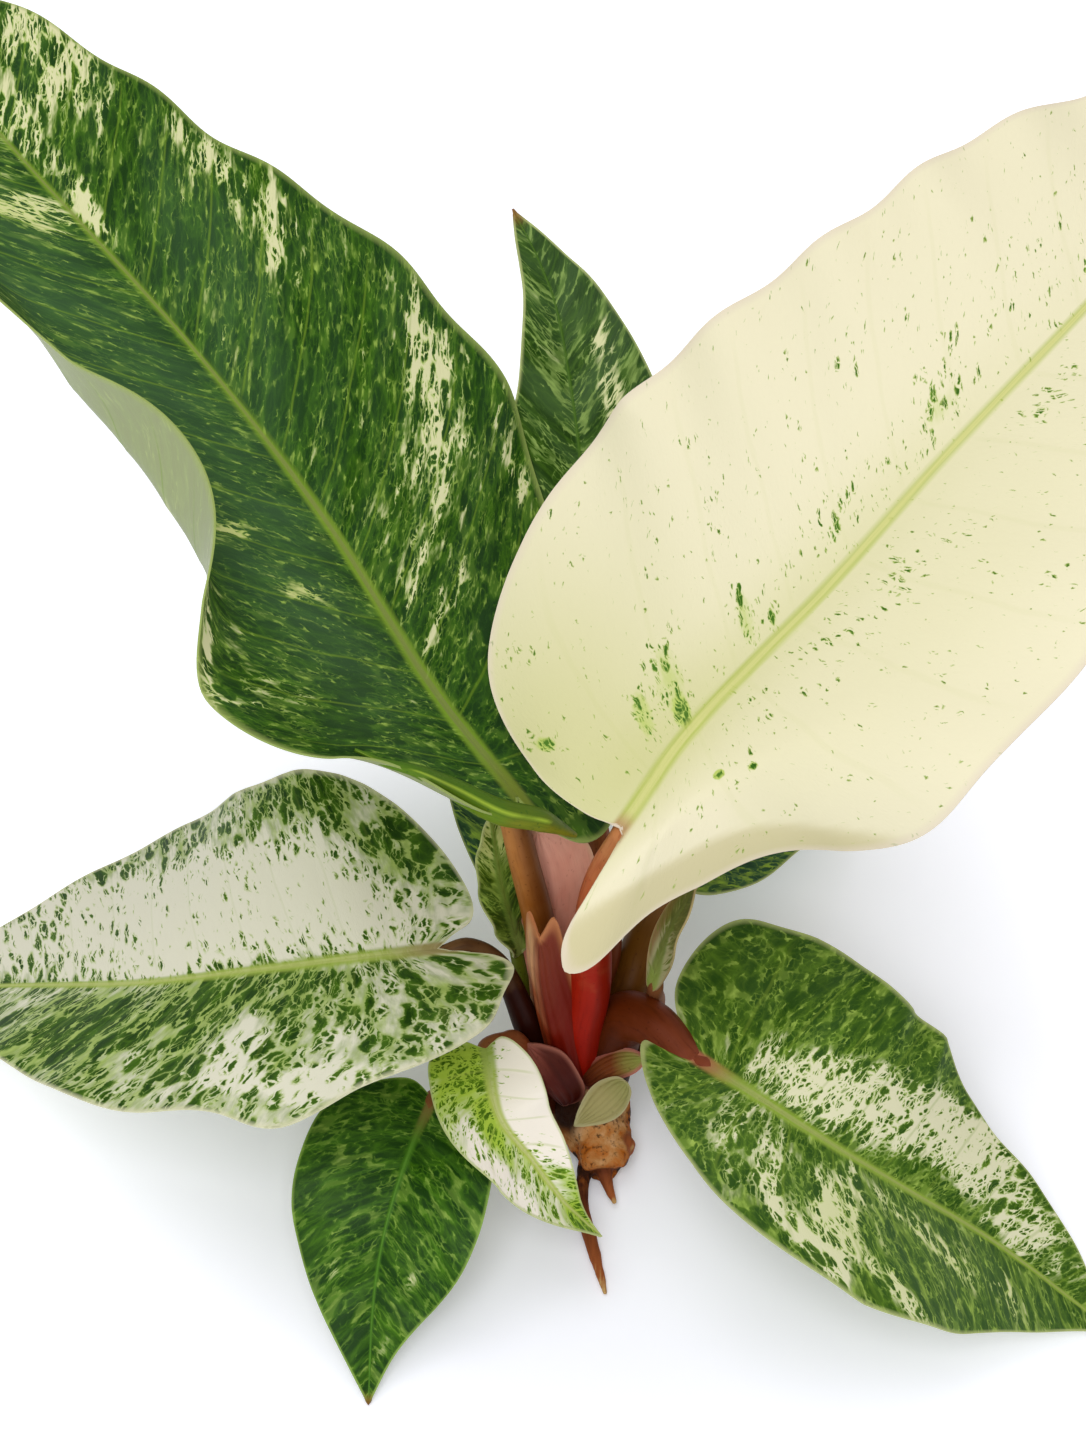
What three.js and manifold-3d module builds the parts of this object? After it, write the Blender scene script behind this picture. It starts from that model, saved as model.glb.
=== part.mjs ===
// A bare-rooted variegated anthurium: leaf blades on their stalks, sheaths round the crown, and a rhizome
// with its roots. Millimetres, +Z up. The origin is the middle of the rhizome's flat foot, and +Y points to
// the plant's back.

import * as THREE from 'three';
import { mergeVertices } from 'three/addons/utils/BufferGeometryUtils.js';
import Module from 'manifold-3d';

// Driving dimensions
const BLADE_THICKNESS = 0.8;
const RIB_RISE = 0.3;
const RIB_HALF_WIDTH = 3.2;
const RIB_FADE = 0.75;
const SHEATH_THICKNESS = 0.9;
const SEAT_GAP = 0.3;
const RESTING_THICKNESS = 0.6;
const STALK_SEAT = 0.012;
const SHEATH_RIPPLE = [0, 1, 0];

// The share of the blade's length over which its margin ripples, from behind the stalk to the tip
const RIPPLE_START = -0.12;
const RIPPLE_SPAN = 1.14;

// How a blade's rows leave its rib: closer together near the base, and swept towards the tip as veins are
const ROW_POWER = 1.35;
const BASE_CROWDING = 1.15;
const VEIN_SWEEP = 1.4;

// Fineness
const MARGIN_STEPS = 400;
const BEND_STEPS = 12;
const STALK_SIDES = 9;
const STALK_RINGS = 10;
const ROOT_SIDES = 7;
const ROOT_RINGS = 9;
const WELD = 1e-4;

// Surface roughness of each kind of tissue
const BLADE_ROUGHNESS = 0.45;
const STALK_ROUGHNESS = 0.5;
const SHEATH_ROUGHNESS = 0.55;
const RHIZOME_ROUGHNESS = 0.85;

const UP = [0, 0, 1];

// How far out from the rib (0) to the margin (1) a blade's columns of points stand
const BROAD = [0, 0.06, 0.22, 0.42, 0.62, 0.82, 1];
const MIDDLE = [0, 0.09, 0.3, 0.54, 0.78, 1];
const SLIM = [0, 0.14, 0.42, 0.72, 1];
const SMALL = [0, 0.3, 0.66, 1];

// Blades, each grown round its rib, which runs from the stalk to the tip.
// edge: the flat outline of that half, each point [along the rib, out from the rib], left and right as seen
// from the stalk with the upper face up. fold: the half's angle above flat at base, middle and tip.
// arch: its further bend on the way to the margin. curls: a stretch of margin round a place along the rib
// that turns up, or down. wave: height, count and phase of the margin's ripple.
// ribDepth: how far the rib stands out below. roll: turn of the whole blade about its rib.
const BLADES = [
  {
    name: 'leaf_upper_left', colour: 0x2f5f2c, rows: 24, columns: BROAD, ribDepth: 2.2, roll: [8, 12, 8],
    rib: [[-20, 28, 99], [-38, 51, 113], [-66, 77, 145], [-97, 106, 171], [-130, 138, 190], [-164, 178, 200],
      [-197, 219, 203]],
    left: {
      fold: [26, 2, 2], arch: [2, 0, 0], wave: [1.2, 6, 0.2],
      curls: [
        { at: 0.36, span: 0.13, start: 0.5, over: 0.22, turn: 40 },
        { at: 0.46, span: 0.24, start: 0.55, over: 0.22, turn: 65 },
        { at: 0, span: 0.24, start: 0.7, over: 0.25, turn: 50 },
      ],
      edge: [[0, 0], [-8, 2], [-12, 7], [-9, 18], [6, 34], [26, 51], [50, 66], [74, 70], [98, 65], [120, 60],
        [144, 54], [172, 46], [204, 37], [236, 26], [262, 13], [276, 5], [288, 0]],
    },
    right: {
      fold: [-6, 14, 14], arch: [-12, -10, -8], wave: [1.4, 7, 0], curls: [],
      edge: [[0, 0], [-8, 2], [-15, 8], [-13, 20], [0, 34], [26, 50], [52, 60], [78, 65], [110, 62],
        [140, 55], [170, 46], [205, 37], [236, 27], [262, 14], [276, 5], [288, 0]],
    },
  },
  {
    name: 'leaf_upper_right', colour: 0xe9e6b8, rows: 26, columns: BROAD, ribDepth: 2.4, roll: [0, 0, 0],
    rib: [[4, 15, 104], [21, 34, 118], [52, 56, 142], [79, 78, 163], [113, 108, 183], [141, 138, 194],
      [165, 166, 200], [184, 184, 203]],
    left: {
      fold: [12, 8, 8], arch: [0, -6, -6], wave: [1.6, 8, 0.1], curls: [],
      edge: [[0, 0], [-2, 10], [-1, 24], [6, 38], [18, 52], [38, 65], [60, 71], [90, 70], [120, 65],
        [150, 59], [178, 53], [200, 44], [224, 29], [248, 12], [260, 5], [270, 0]],
    },
    right: {
      fold: [0, 6, 8], arch: [-10, -12, -6], wave: [1.4, 6, 0.3],
      curls: [{ at: -0.04, span: 0.3, start: 0.45, over: 0.25, turn: -75 }],
      edge: [[0, 0], [-3, 3], [-9, 3], [-18, 2], [-26, 3], [-31, 7], [-32, 11], [-27, 16], [-12, 22],
        [4, 32], [20, 42], [34, 51], [56, 60], [90, 61], [120, 59], [150, 55], [180, 49], [205, 39],
        [228, 25], [248, 11], [260, 5], [270, 0]],
    },
  },
  {
    name: 'leaf_back', colour: 0x3f7a3a, rows: 18, columns: MIDDLE, ribDepth: 1.4, roll: [0, 0, 0],
    rib: [[-3, 70, 56], [-4, 88, 73], [-4, 107, 95], [-5, 125, 114], [-10, 147, 139], [-15, 160, 148],
      [-22, 175, 153]],
    left: {
      fold: [15, 15, 15], arch: [0, 0, 0], wave: [0.8, 5, 0], curls: [],
      edge: [[0, 0], [-5, 8], [3, 18], [20, 24], [45, 25], [75, 22], [100, 17], [120, 12], [140, 8],
        [156, 4], [168, 0]],
    },
    right: {
      fold: [15, 15, 15], arch: [0, 0, 0], wave: [0.8, 5, 0.4], curls: [],
      edge: [[0, 0], [-5, 8], [3, 20], [20, 28], [45, 29], [75, 25], [100, 21], [120, 16], [135, 10],
        [150, 5], [168, 0]],
    },
  },
  {
    name: 'leaf_left', colour: 0x9fb98a, rows: 20, columns: MIDDLE, ribDepth: 1.6, roll: [0, 0, 0],
    rib: [[-40, 12, 60], [-62, 6, 64], [-87, 6, 59], [-114, 12, 46], [-152, 30, 20], [-179, 42, 0.6]],
    left: {
      fold: [14, 8, 8], arch: [-10, -8, -8], wave: [1, 5, 0.3], curls: [],
      edge: [[0, 0], [-7, 2], [-14, 4], [-17, 9], [-12, 17], [-6, 26], [4, 33], [14, 38], [24, 42], [36, 50],
        [48, 44], [62, 42], [80, 37], [100, 29], [120, 22], [140, 14], [155, 7], [164, 0]],
    },
    right: {
      fold: [10, 8, 8], arch: [-10, -10, -8], wave: [1, 5, 0], curls: [],
      edge: [[0, 0], [-5, 4], [-11, 8], [-12, 16], [-8, 30], [0, 44], [12, 53], [28, 57], [50, 58], [75, 58],
        [95, 53], [115, 42], [132, 29], [150, 14], [164, 0]],
    },
  },
  {
    name: 'leaf_front', colour: 0x3c7a34, rows: 16, columns: SLIM, ribDepth: 1, roll: [0, 0, 0],
    rib: [[-41, -11, 30], [-47, -29, 31], [-52, -45, 25], [-55, -59, 13], [-56, -79, 0.5]],
    left: {
      fold: [15, 15, 15], arch: [-16, -16, -10], wave: [0.5, 3, 0], curls: [],
      edge: [[0, 0], [-3, 6], [2, 14], [12, 20], [26, 23], [40, 22], [54, 16], [68, 6], [80, 0]],
    },
    right: {
      fold: [15, 15, 15], arch: [-16, -16, -10], wave: [0.5, 3, 0.5], curls: [],
      edge: [[0, 0], [-3, 8], [4, 18], [14, 24], [26, 25], [38, 23], [52, 16], [66, 8], [80, 0]],
    },
  },
  {
    name: 'leaf_small_front', colour: 0xc9d6a0, rows: 13, columns: SMALL, ribDepth: 0.8, roll: [0, 0, 0],
    rib: [[-28, -4, 41], [-25, -22, 39], [-17, -31, 33], [-9, -38, 25], [0, -41, 15]],
    left: {
      fold: [20, 20, 20], arch: [0, 0, 0], wave: [0.4, 2, 0], curls: [],
      edge: [[0, 0], [-2, 5], [6, 11], [16, 13], [28, 11], [42, 6], [52, 2], [59, 0]],
    },
    right: {
      fold: [20, 20, 20], arch: [0, 0, 0], wave: [0.4, 2, 0.5], curls: [],
      edge: [[0, 0], [-2, 8], [4, 15], [12, 16], [24, 15], [36, 13], [48, 6], [59, 0]],
    },
  },
  {
    name: 'leaf_right', colour: 0x4c8040, rows: 20, columns: MIDDLE, ribDepth: 1.6, roll: [0, 0, 0],
    rib: [[23, -6, 40], [37, -20, 44], [54, -32, 42], [70, -38, 34], [96, -45, 17], [124, -59, 0.6]],
    left: {
      fold: [14, 12, 12], arch: [-16, -14, -10], wave: [0.8, 4, 0], curls: [],
      edge: [[0, 0], [-10, 5], [-20, 14], [-24, 28], [-21, 42], [-8, 47], [10, 50], [35, 50], [56, 48],
        [70, 40], [80, 28], [92, 21], [104, 15], [116, 8], [128, 0]],
    },
    right: {
      fold: [14, 12, 12], arch: [-16, -14, -10], wave: [0.8, 4, 0.5], curls: [],
      edge: [[0, 0], [-8, 2], [-14, 4], [-10, 9], [0, 16], [15, 23], [30, 30], [45, 34], [62, 36], [78, 33],
        [94, 26], [108, 16], [119, 7], [128, 0]],
    },
  },
  {
    name: 'leaf_low_back_right', colour: 0x2c5a45, rows: 15, columns: SLIM, ribDepth: 1, roll: [0, 0, 0],
    rib: [[20, 60, 28], [36, 84, 24], [55, 108, 12], [70, 128, 0.5]],
    left: {
      fold: [8, 8, 8], arch: [-10, -10, -10], wave: [0.6, 4, 0], curls: [],
      edge: [[0, 0], [-3, 5], [1, 12], [14, 19], [36, 21], [60, 15], [76, 7], [88, 0]],
    },
    right: {
      fold: [0, 4, 8], arch: [-10, -10, -10], wave: [0.6, 4, 0.5], curls: [],
      edge: [[0, 0], [-3, 5], [1, 12], [14, 19], [36, 21], [60, 15], [76, 7], [88, 0]],
    },
  },
  {
    name: 'leaf_low_back_left', colour: 0x2c5a4c, rows: 16, columns: SLIM, ribDepth: 1.2, roll: [0, 0, 0],
    rib: [[-14, 31, 46], [-17, 64, 45], [-22, 112, 27], [-34, 158, 0.6]],
    left: {
      fold: [8, 8, 8], arch: [-10, -10, -10], wave: [0.6, 4, 0.2], curls: [],
      edge: [[0, 0], [0, 4], [4, 9], [15, 15], [40, 20], [80, 22], [110, 16], [130, 7], [146, 0]],
    },
    right: {
      fold: [8, 8, 8], arch: [-10, -10, -10], wave: [0.6, 4, 0.7], curls: [],
      edge: [[0, 0], [-4, 3], [0, 7], [14, 10], [40, 14], [80, 17], [110, 13], [130, 6], [146, 0]],
    },
  },
  {
    name: 'leaf_young_left', colour: 0x9cc07c, rows: 12, columns: SMALL, ribDepth: 0.6, roll: [0, 0, 0],
    rib: [[-20, 24, 43], [-24, 27, 62], [-27, 35, 84]],
    left: {
      fold: [10, 10, 10], arch: [0, 0, 0], wave: [1.2, 4, 0], curls: [],
      edge: [[0, 0], [2, 4], [14, 8], [30, 8], [40, 4], [46, 0]],
    },
    right: {
      fold: [10, 10, 10], arch: [0, 0, 0], wave: [1.2, 4, 0.3], curls: [],
      edge: [[0, 0], [2, 3], [14, 5], [30, 5], [40, 3], [46, 0]],
    },
  },
  {
    name: 'leaf_young_right', colour: 0x86a566, rows: 12, columns: SMALL, ribDepth: 0.6, roll: [0, 0, 0],
    rib: [[13, 14, 41], [16, 17, 60], [20, 18, 78]],
    left: {
      fold: [10, 10, 10], arch: [0, 0, 0], wave: [0.6, 3, 0], curls: [],
      edge: [[0, 0], [2, 2], [12, 4], [24, 4.5], [32, 3], [38, 0]],
    },
    right: {
      fold: [10, 10, 10], arch: [0, 0, 0], wave: [0.6, 3, 0.4], curls: [],
      edge: [[0, 0], [2, 2], [12, 4], [24, 4.5], [32, 3], [38, 0]],
    },
  },
];

// Sheaths and the dry bract are short blades with no rib, bent round the crown. face: where the outer side
// looks. Both halves share one edge, fold and arch.
const SHEATHS = [
  {
    name: 'sheath_tall_pink', colour: 0xb0696b, rows: 10, columns: SMALL, face: [0.1, -1, 0.1],
    roll: [0, 0, 0],
    rib: [[-8, 16, 14], [-11, 26, 44], [-11, 27, 67], [-9, 27, 92]],
    fold: [-8, -8, -8], arch: [-60, -40, -20],
    edge: [[0, 0], [0, 6], [10, 9], [35, 11], [60, 9], [72, 5], [80, 0]],
  },
  {
    name: 'sheath_split_front', colour: 0xc4554e, rows: 10, columns: SMALL, face: [-0.4, -1, 0.1],
    roll: [0, 0, 0],
    rib: [[-8, -1, 14], [-11, 4, 30], [-14, 8, 50], [-15, 10, 68]],
    fold: [-6, -6, -6], arch: [-90, -70, -50],
    edge: [[0, 0], [0, 5], [8, 7], [30, 8], [50, 6], [62, 4], [56, 0]],
  },
  {
    name: 'sheath_maroon', colour: 0x7a3038, rows: 7, columns: SMALL, face: [-0.5, -0.8, 0.3],
    roll: [0, 0, 0],
    rib: [[-8, -5, 14], [-13, -3, 24], [-18, 3, 32]],
    fold: [-6, -6, -6], arch: [-50, -40, -20],
    edge: [[0, 0], [0, 5], [6, 8], [16, 8], [21, 4], [23, 0]],
  },
  {
    name: 'sheath_right', colour: 0xb07a72, rows: 7, columns: SMALL, face: [0, -0.6, 0.8],
    roll: [0, 0, 0],
    rib: [[-4, -1, 19], [3, -2, 26], [12, -2, 29]],
    fold: [-6, -6, -6], arch: [-50, -40, -20],
    edge: [[0, 0], [0, 3], [6, 5], [13, 4], [18, 0]],
  },
  {
    name: 'bract_dry', colour: 0x8f8a66, rows: 7, columns: SMALL, face: [0, -0.7, 0.7],
    roll: [0, 0, 0],
    rib: [[-1, 0, 24], [1, -6, 21], [2, -11, 14]],
    fold: [-4, -4, -4], arch: [-40, -40, -30],
    edge: [[0, 0], [0, 4], [4, 7], [10, 7], [15, 0]],
  },
];

// Stalks, from inside the rhizome up to the blade that each carries, with the radius at even steps
const STALKS = [
  {
    name: 'stalk_upper_right', colour: 0xb5382f, blade: 'leaf_upper_right',
    radius: [6, 5.8, 5.2, 3.7, 3.1],
    points: [[-5, 6, 8], [-5, 10, 30], [-3, 12, 46], [-1, 15, 80]],
  },
  {
    name: 'stalk_upper_left', colour: 0x9c6a50, blade: 'leaf_upper_left',
    radius: [4.8, 4.4, 4, 3.7, 3.4],
    points: [[-10, 8, 8], [-13, 16, 34], [-15, 22, 56], [-19, 26, 78]],
  },
  {
    name: 'stalk_right', colour: 0x96413a, blade: 'leaf_right',
    radius: [6.5, 7, 5.2, 3.6],
    points: [[0, 6, 10], [5, 12, 30], [13, 7, 36]],
  },
  {
    name: 'stalk_left', colour: 0x9a6a52, blade: 'leaf_left',
    radius: [4, 3.6, 3.2, 2.8],
    points: [[-13, 7, 10], [-18, 10, 30], [-24, 13, 50], [-32, 15, 57]],
  },
  {
    name: 'stalk_front', colour: 0x8c4a3c, blade: 'leaf_front',
    radius: [3, 2.8, 2.5, 2.2],
    points: [[-12, 2, 8], [-20, -3, 20], [-31, -8, 26]],
  },
  {
    name: 'stalk_small_front', colour: 0x8c5a48, blade: 'leaf_small_front',
    radius: [2.8, 2.5, 2.2, 1.8],
    points: [[-13, 4, 10], [-20, 4, 32], [-24, 0, 39]],
  },
  {
    name: 'stalk_back', colour: 0x8a5a40, blade: 'leaf_back',
    radius: [4, 3.6, 3.3, 3],
    points: [[-3, 14, 8], [-1, 23, 20], [2, 32, 36], [1, 44, 48]],
  },
  {
    name: 'stalk_low_back_right', colour: 0x8a5a40, blade: 'leaf_low_back_right',
    radius: [4.6, 4.5, 3.8, 2.5],
    points: [[1, 14, 8], [9, 26, 25], [13, 37, 31]],
  },
  {
    name: 'stalk_low_back_left', colour: 0x8a5a40, blade: 'leaf_low_back_left',
    radius: [3.2, 3, 2.7, 2.4],
    points: [[-8, 14, 8], [-11, 22, 24], [-13, 27, 35]],
  },
  {
    name: 'stalk_young_left', colour: 0x7f8a50, blade: 'leaf_young_left',
    radius: [2.2, 2, 1.8, 1.5],
    points: [[-12, 10, 10], [-18, 18, 29]],
  },
  {
    name: 'stalk_young_right', colour: 0x7c5a42, blade: 'leaf_young_right',
    radius: [2.6, 2.4, 2.2, 1.8],
    points: [[5, 12, 9], [12, 16, 18], [14, 18, 30]],
  },
];

// The rhizome, thick rings round its path, with a raised scar where each old leaf stood and lumps round it
const RHIZOME = {
  name: 'rhizome_with_roots', colour: 0xa9713f, sides: 16, rings: 16,
  scars: 5, scarHeight: 0.7, lumps: 3, lumpHeight: 0.5,
  points: [[1, -16, 6], [0, -8, 7], [-2, 2, 8], [-4, 12, 8.5], [-4, 19, 8]],
  radius: [5.5, 8.5, 10, 9.5, 5],
};

// Roots and the side bud, fused into the rhizome
const ROOTS = [
  {
    points: [[-3, -12, 6], [-4, -21, 3], [-3, -30, 2.2], [-1, -40, 1.6], [1, -48, 1]],
    radius: [2.6, 2.2, 1.8, 1.3, 0.9],
  },
  { points: [[1, -14, 6], [2, -20, 4], [4, -25, 2.5]], radius: [2.2, 1.6, 0.9] },
  { points: [[5, -8, 7], [9, -10, 8], [12, -11, 8.5]], radius: [2.6, 2, 1.2] },
];

const wasm = await Module();
wasm.setup();

// Curves and values along them

function curveThrough(points) {
  const vectors = points.map(([x, y, z = 0]) => new THREE.Vector3(x, y, z));
  const curve = new THREE.CatmullRomCurve3(vectors, false, 'catmullrom', 0.5);
  curve.arcLengthDivisions = MARGIN_STEPS;
  return curve;
}

function smooth(x) {
  const c = THREE.MathUtils.clamp(x, 0, 1);
  return c * c * (3 - 2 * c);
}

function valueAlong([base, middle, tip], t) {
  const c = THREE.MathUtils.clamp(t, 0, 1);
  if (c < 0.5) return base + (middle - base) * smooth(c * 2);
  return middle + (tip - middle) * smooth(c * 2 - 1);
}

function valueInList(values, t) {
  const place = THREE.MathUtils.clamp(t, 0, 1) * (values.length - 1);
  const i = Math.min(Math.floor(place), values.length - 2);
  return THREE.MathUtils.lerp(values[i], values[i + 1], place - i);
}

// The rib's own frame at t: place, direction to the right, and the upper face's normal. Past either end the
// frame slides on along the rib's last direction, which carries the lobes behind the stalk.
function ribFrame(blade, t) {
  const inside = THREE.MathUtils.clamp(t, 0, 1);
  const along = blade.curve.getTangentAt(inside);
  const place = blade.curve.getPointAt(inside).addScaledVector(along, (t - inside) * blade.length);
  const face = new THREE.Vector3(...(blade.face ?? UP));
  const up = face.addScaledVector(along, -face.dot(along)).normalize();
  const side = along.clone().cross(up);
  const roll = THREE.MathUtils.degToRad(valueAlong(blade.roll, t));
  const normal = up.clone().multiplyScalar(Math.cos(roll)).addScaledVector(side, Math.sin(roll));
  const right = side.multiplyScalar(Math.cos(roll)).addScaledVector(up, -Math.sin(roll));
  return { place, right, normal };
}

function bendAngle(half, t, u) {
  let angle = valueAlong(half.fold, t) + valueAlong(half.arch, t) * u;
  for (const { at, span, start, over, turn } of half.curls) {
    const away = (t - at) / span;
    if (Math.abs(away) < 1) angle += turn * smooth((u - start) / over) * (1 - away * away) ** 2;
  }
  return THREE.MathUtils.degToRad(angle);
}

function ripple(blade, half, t, v, width) {
  const [height, count, phase] = half.wave;
  const reach = THREE.MathUtils.clamp((t - RIPPLE_START) / RIPPLE_SPAN, 0, 1);
  const swell = Math.sqrt(Math.max(0, Math.sin(Math.PI * reach)));
  const turns = count * (t - 0.5 * width * v / blade.length) + phase;
  return height * swell * v * v * Math.sin(2 * Math.PI * turns);
}

// One point of the blade's middle surface, in the row that runs from the rib to the margin point
function bladePoint(blade, half, side, q, margin, v) {
  const foot = q ** ROW_POWER;
  const width = Math.max(margin.y, 0);
  const t = foot + (margin.x / blade.length - foot) * v ** VEIN_SWEEP;
  let across = 0;
  let lift = 0;
  for (let k = 0; k < BEND_STEPS; k++) {
    const angle = bendAngle(half, t, v * (k + 0.5) / BEND_STEPS);
    across += Math.cos(angle) * width * v / BEND_STEPS;
    lift += Math.sin(angle) * width * v / BEND_STEPS;
  }
  lift += ripple(blade, half, t, v, width);
  const { place, right, normal } = ribFrame(blade, t);
  const point = place.addScaledVector(right, across * side).addScaledVector(normal, lift);
  return { point, out: width * v, t };
}

function stretchedEdge(blade, edge) {
  const scale = blade.length / edge[edge.length - 1][0];
  return curveThrough(edge.map(([along, out]) => [along * scale, out]));
}

// Rows of points across both halves, from the left margin over the rib to the right margin
function bladeRows(blade) {
  const leftEdge = stretchedEdge(blade, blade.left.edge);
  const rightEdge = stretchedEdge(blade, blade.right.edge);
  const outward = blade.columns.slice(1);
  const rows = [];
  for (let i = 0; i <= blade.rows; i++) {
    const q = (i / blade.rows) ** BASE_CROWDING;
    const leftMargin = leftEdge.getPointAt(q);
    const rightMargin = rightEdge.getPointAt(q);
    const left = outward.map((v) => bladePoint(blade, blade.left, -1, q, leftMargin, v)).reverse();
    const right = blade.columns.map((v) => bladePoint(blade, blade.right, 1, q, rightMargin, v));
    rows.push([...left, ...right]);
  }
  return rows;
}

function surfaceNormals(rows, endNormals) {
  const last = rows.length - 1;
  return rows.map((row, i) => row.map((cell, j) => {
    if (i === 0) return endNormals[0];
    if (i === last) return endNormals[1];
    const along = rows[i + 1][j].point.clone().sub(rows[i - 1][j].point);
    const across = row[Math.min(j + 1, row.length - 1)].point.clone().sub(row[Math.max(j - 1, 0)].point);
    return across.cross(along).normalize();
  }));
}

function ribSwell(blade, cell) {
  const outer = Math.max(0, 1 - (cell.out / RIB_HALF_WIDTH) ** 2);
  return outer * (1 - RIB_FADE * THREE.MathUtils.clamp(cell.t, 0, 1));
}

function geometryFrom(vertices, triangles) {
  const geometry = new THREE.BufferGeometry();
  const numbers = vertices.flatMap((vertex) => vertex.toArray());
  geometry.setAttribute('position', new THREE.Float32BufferAttribute(numbers, 3));
  geometry.setIndex(triangles);
  return geometry;
}

// The way out of the blade at its margins and its two ends, and nothing elsewhere
function outward(rows, i, j) {
  const width = rows[0].length;
  const last = rows.length - 1;
  const here = rows[i][j].point.clone();
  const atEnd = i === 0 || i === last;
  if (!atEnd && j > 0 && j < width - 1) return new THREE.Vector3();
  const inner = atEnd ? rows[i === 0 ? 1 : last - 1][(width - 1) / 2] : rows[i][j === 0 ? 1 : width - 2];
  return here.sub(inner.point).normalize();
}

// A closed thin solid: upper and lower skins over the same rows, joined round the margin. extra swells it
// on all sides.
function bladeGeometry(blade, thickness, extra = 0) {
  const rows = bladeRows(blade);
  const ends = [ribFrame(blade, 0).normal, ribFrame(blade, 1).normal];
  const normals = surfaceNormals(rows, ends);
  const width = rows[0].length;
  const last = rows.length - 1;
  const upper = [];
  const lower = [];
  rows.forEach((row, i) => row.forEach((cell, j) => {
    const swell = ribSwell(blade, cell);
    const rise = thickness / 2 + RIB_RISE * swell * (blade.ribDepth > 0 ? 1 : 0) + extra;
    const drop = thickness / 2 + blade.ribDepth * swell + extra;
    const middlePoint = cell.point.clone().addScaledVector(outward(rows, i, j), extra);
    upper.push(middlePoint.clone().addScaledVector(normals[i][j], rise));
    lower.push(middlePoint.clone().addScaledVector(normals[i][j], -drop));
  }));
  if (extra === 0) restOnSurface(upper, lower);
  const middle = (width - 1) / 2;
  const at = (i, j) => i * width + (i === 0 || i === last ? middle : j);
  const below = upper.length;
  const triangles = [];
  const addBoth = (a, b, c) => {
    if (a === b || b === c || a === c) return;
    triangles.push(a, b, c, below + a, below + c, below + b);
  };
  for (let i = 0; i < last; i++) {
    for (let j = 0; j < width - 1; j++) {
      addBoth(at(i, j), at(i, j + 1), at(i + 1, j + 1));
      addBoth(at(i, j), at(i + 1, j + 1), at(i + 1, j));
    }
    for (const [j, turned] of [[0, false], [width - 1, true]]) {
      const a = at(i, j);
      const b = at(i + 1, j);
      const wall = [a, b, below + b, a, below + b, below + a];
      triangles.push(...(turned ? wall.reverse() : wall));
    }
  }
  return geometryFrom([...upper, ...lower], triangles);
}

// Where a blade touches the surface, its lower skin flattens and its upper skin stays a thickness above
function restOnSurface(upper, lower) {
  lower.forEach((vertex, k) => {
    vertex.z = Math.max(vertex.z, 0);
    if (upper[k].z < RESTING_THICKNESS) upper[k].z = vertex.z + RESTING_THICKNESS;
  });
}

// A closed tube round a path, with its radius given at even steps. extra swells it, and lengthens both ends.
function stalkGeometry(points, radii, sides, rings, extra = 0) {
  const curve = curveThrough(points);
  const frames = curve.computeFrenetFrames(rings, false);
  const vertices = [];
  for (let i = 0; i <= rings; i++) {
    const t = i / rings;
    const ahead = i === 0 ? -extra : i === rings ? extra : 0;
    const centre = curve.getPointAt(t).addScaledVector(curve.getTangentAt(t), ahead);
    const radius = valueInList(radii, t) + extra;
    for (let k = 0; k < sides; k++) {
      const turn = 2 * Math.PI * k / sides;
      const across = frames.normals[i].clone().multiplyScalar(radius * Math.cos(turn));
      const over = frames.binormals[i].clone().multiplyScalar(radius * Math.sin(turn));
      vertices.push(centre.clone().add(across).add(over));
    }
  }
  const first = vertices.push(curve.getPointAt(0).addScaledVector(curve.getTangentAt(0), -extra)) - 1;
  const end = vertices.push(curve.getPointAt(1).addScaledVector(curve.getTangentAt(1), extra)) - 1;
  const triangles = [];
  for (let k = 0; k < sides; k++) {
    const next = (k + 1) % sides;
    for (let i = 0; i < rings; i++) {
      const a = i * sides + k;
      const b = i * sides + next;
      triangles.push(a, b, b + sides, a, b + sides, a + sides);
    }
    triangles.push(first, next, k, end, rings * sides + k, rings * sides + next);
  }
  return geometryFrom(vertices, triangles);
}

// The lumpy rhizome: rings round its path with raised leaf scars, set flat on the surface
function rhizomeGeometry(extra = 0) {
  const { points, radius, sides, rings, scars, scarHeight, lumps, lumpHeight } = RHIZOME;
  const geometry = stalkGeometry(points, radius, sides, rings, extra);
  const curve = curveThrough(points);
  const position = geometry.getAttribute('position');
  for (let i = 0; i <= rings; i++) {
    const centre = curve.getPointAt(i / rings);
    const swell = scarHeight * Math.max(0, Math.sin(2 * Math.PI * scars * i / rings));
    for (let k = 0; k < sides; k++) {
      const index = i * sides + k;
      const vertex = new THREE.Vector3().fromBufferAttribute(position, index);
      const arm = vertex.clone().sub(centre);
      const lump = swell + lumpHeight * Math.sin(2 * Math.PI * lumps * k / sides + i);
      vertex.addScaledVector(arm.normalize(), lump);
      position.setXYZ(index, vertex.x, vertex.y, vertex.z);
    }
  }
  for (let index = 0; index < position.count; index++) {
    position.setZ(index, Math.max(position.getZ(index), -extra));
  }
  return geometry;
}

// Joining and cutting

function toSolid(geometry) {
  const merged = mergeVertices(geometry, WELD);
  return new wasm.Manifold(new wasm.Mesh({
    numProp: 3,
    vertProperties: new Float32Array(merged.getAttribute('position').array),
    triVerts: new Uint32Array(merged.getIndex().array),
  }));
}

function toGeometry(solid) {
  const mesh = solid.getMesh();
  const geometry = new THREE.BufferGeometry();
  geometry.setAttribute('position', new THREE.Float32BufferAttribute(Array.from(mesh.vertProperties), 3));
  geometry.setIndex(Array.from(mesh.triVerts));
  return geometry;
}

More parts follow.
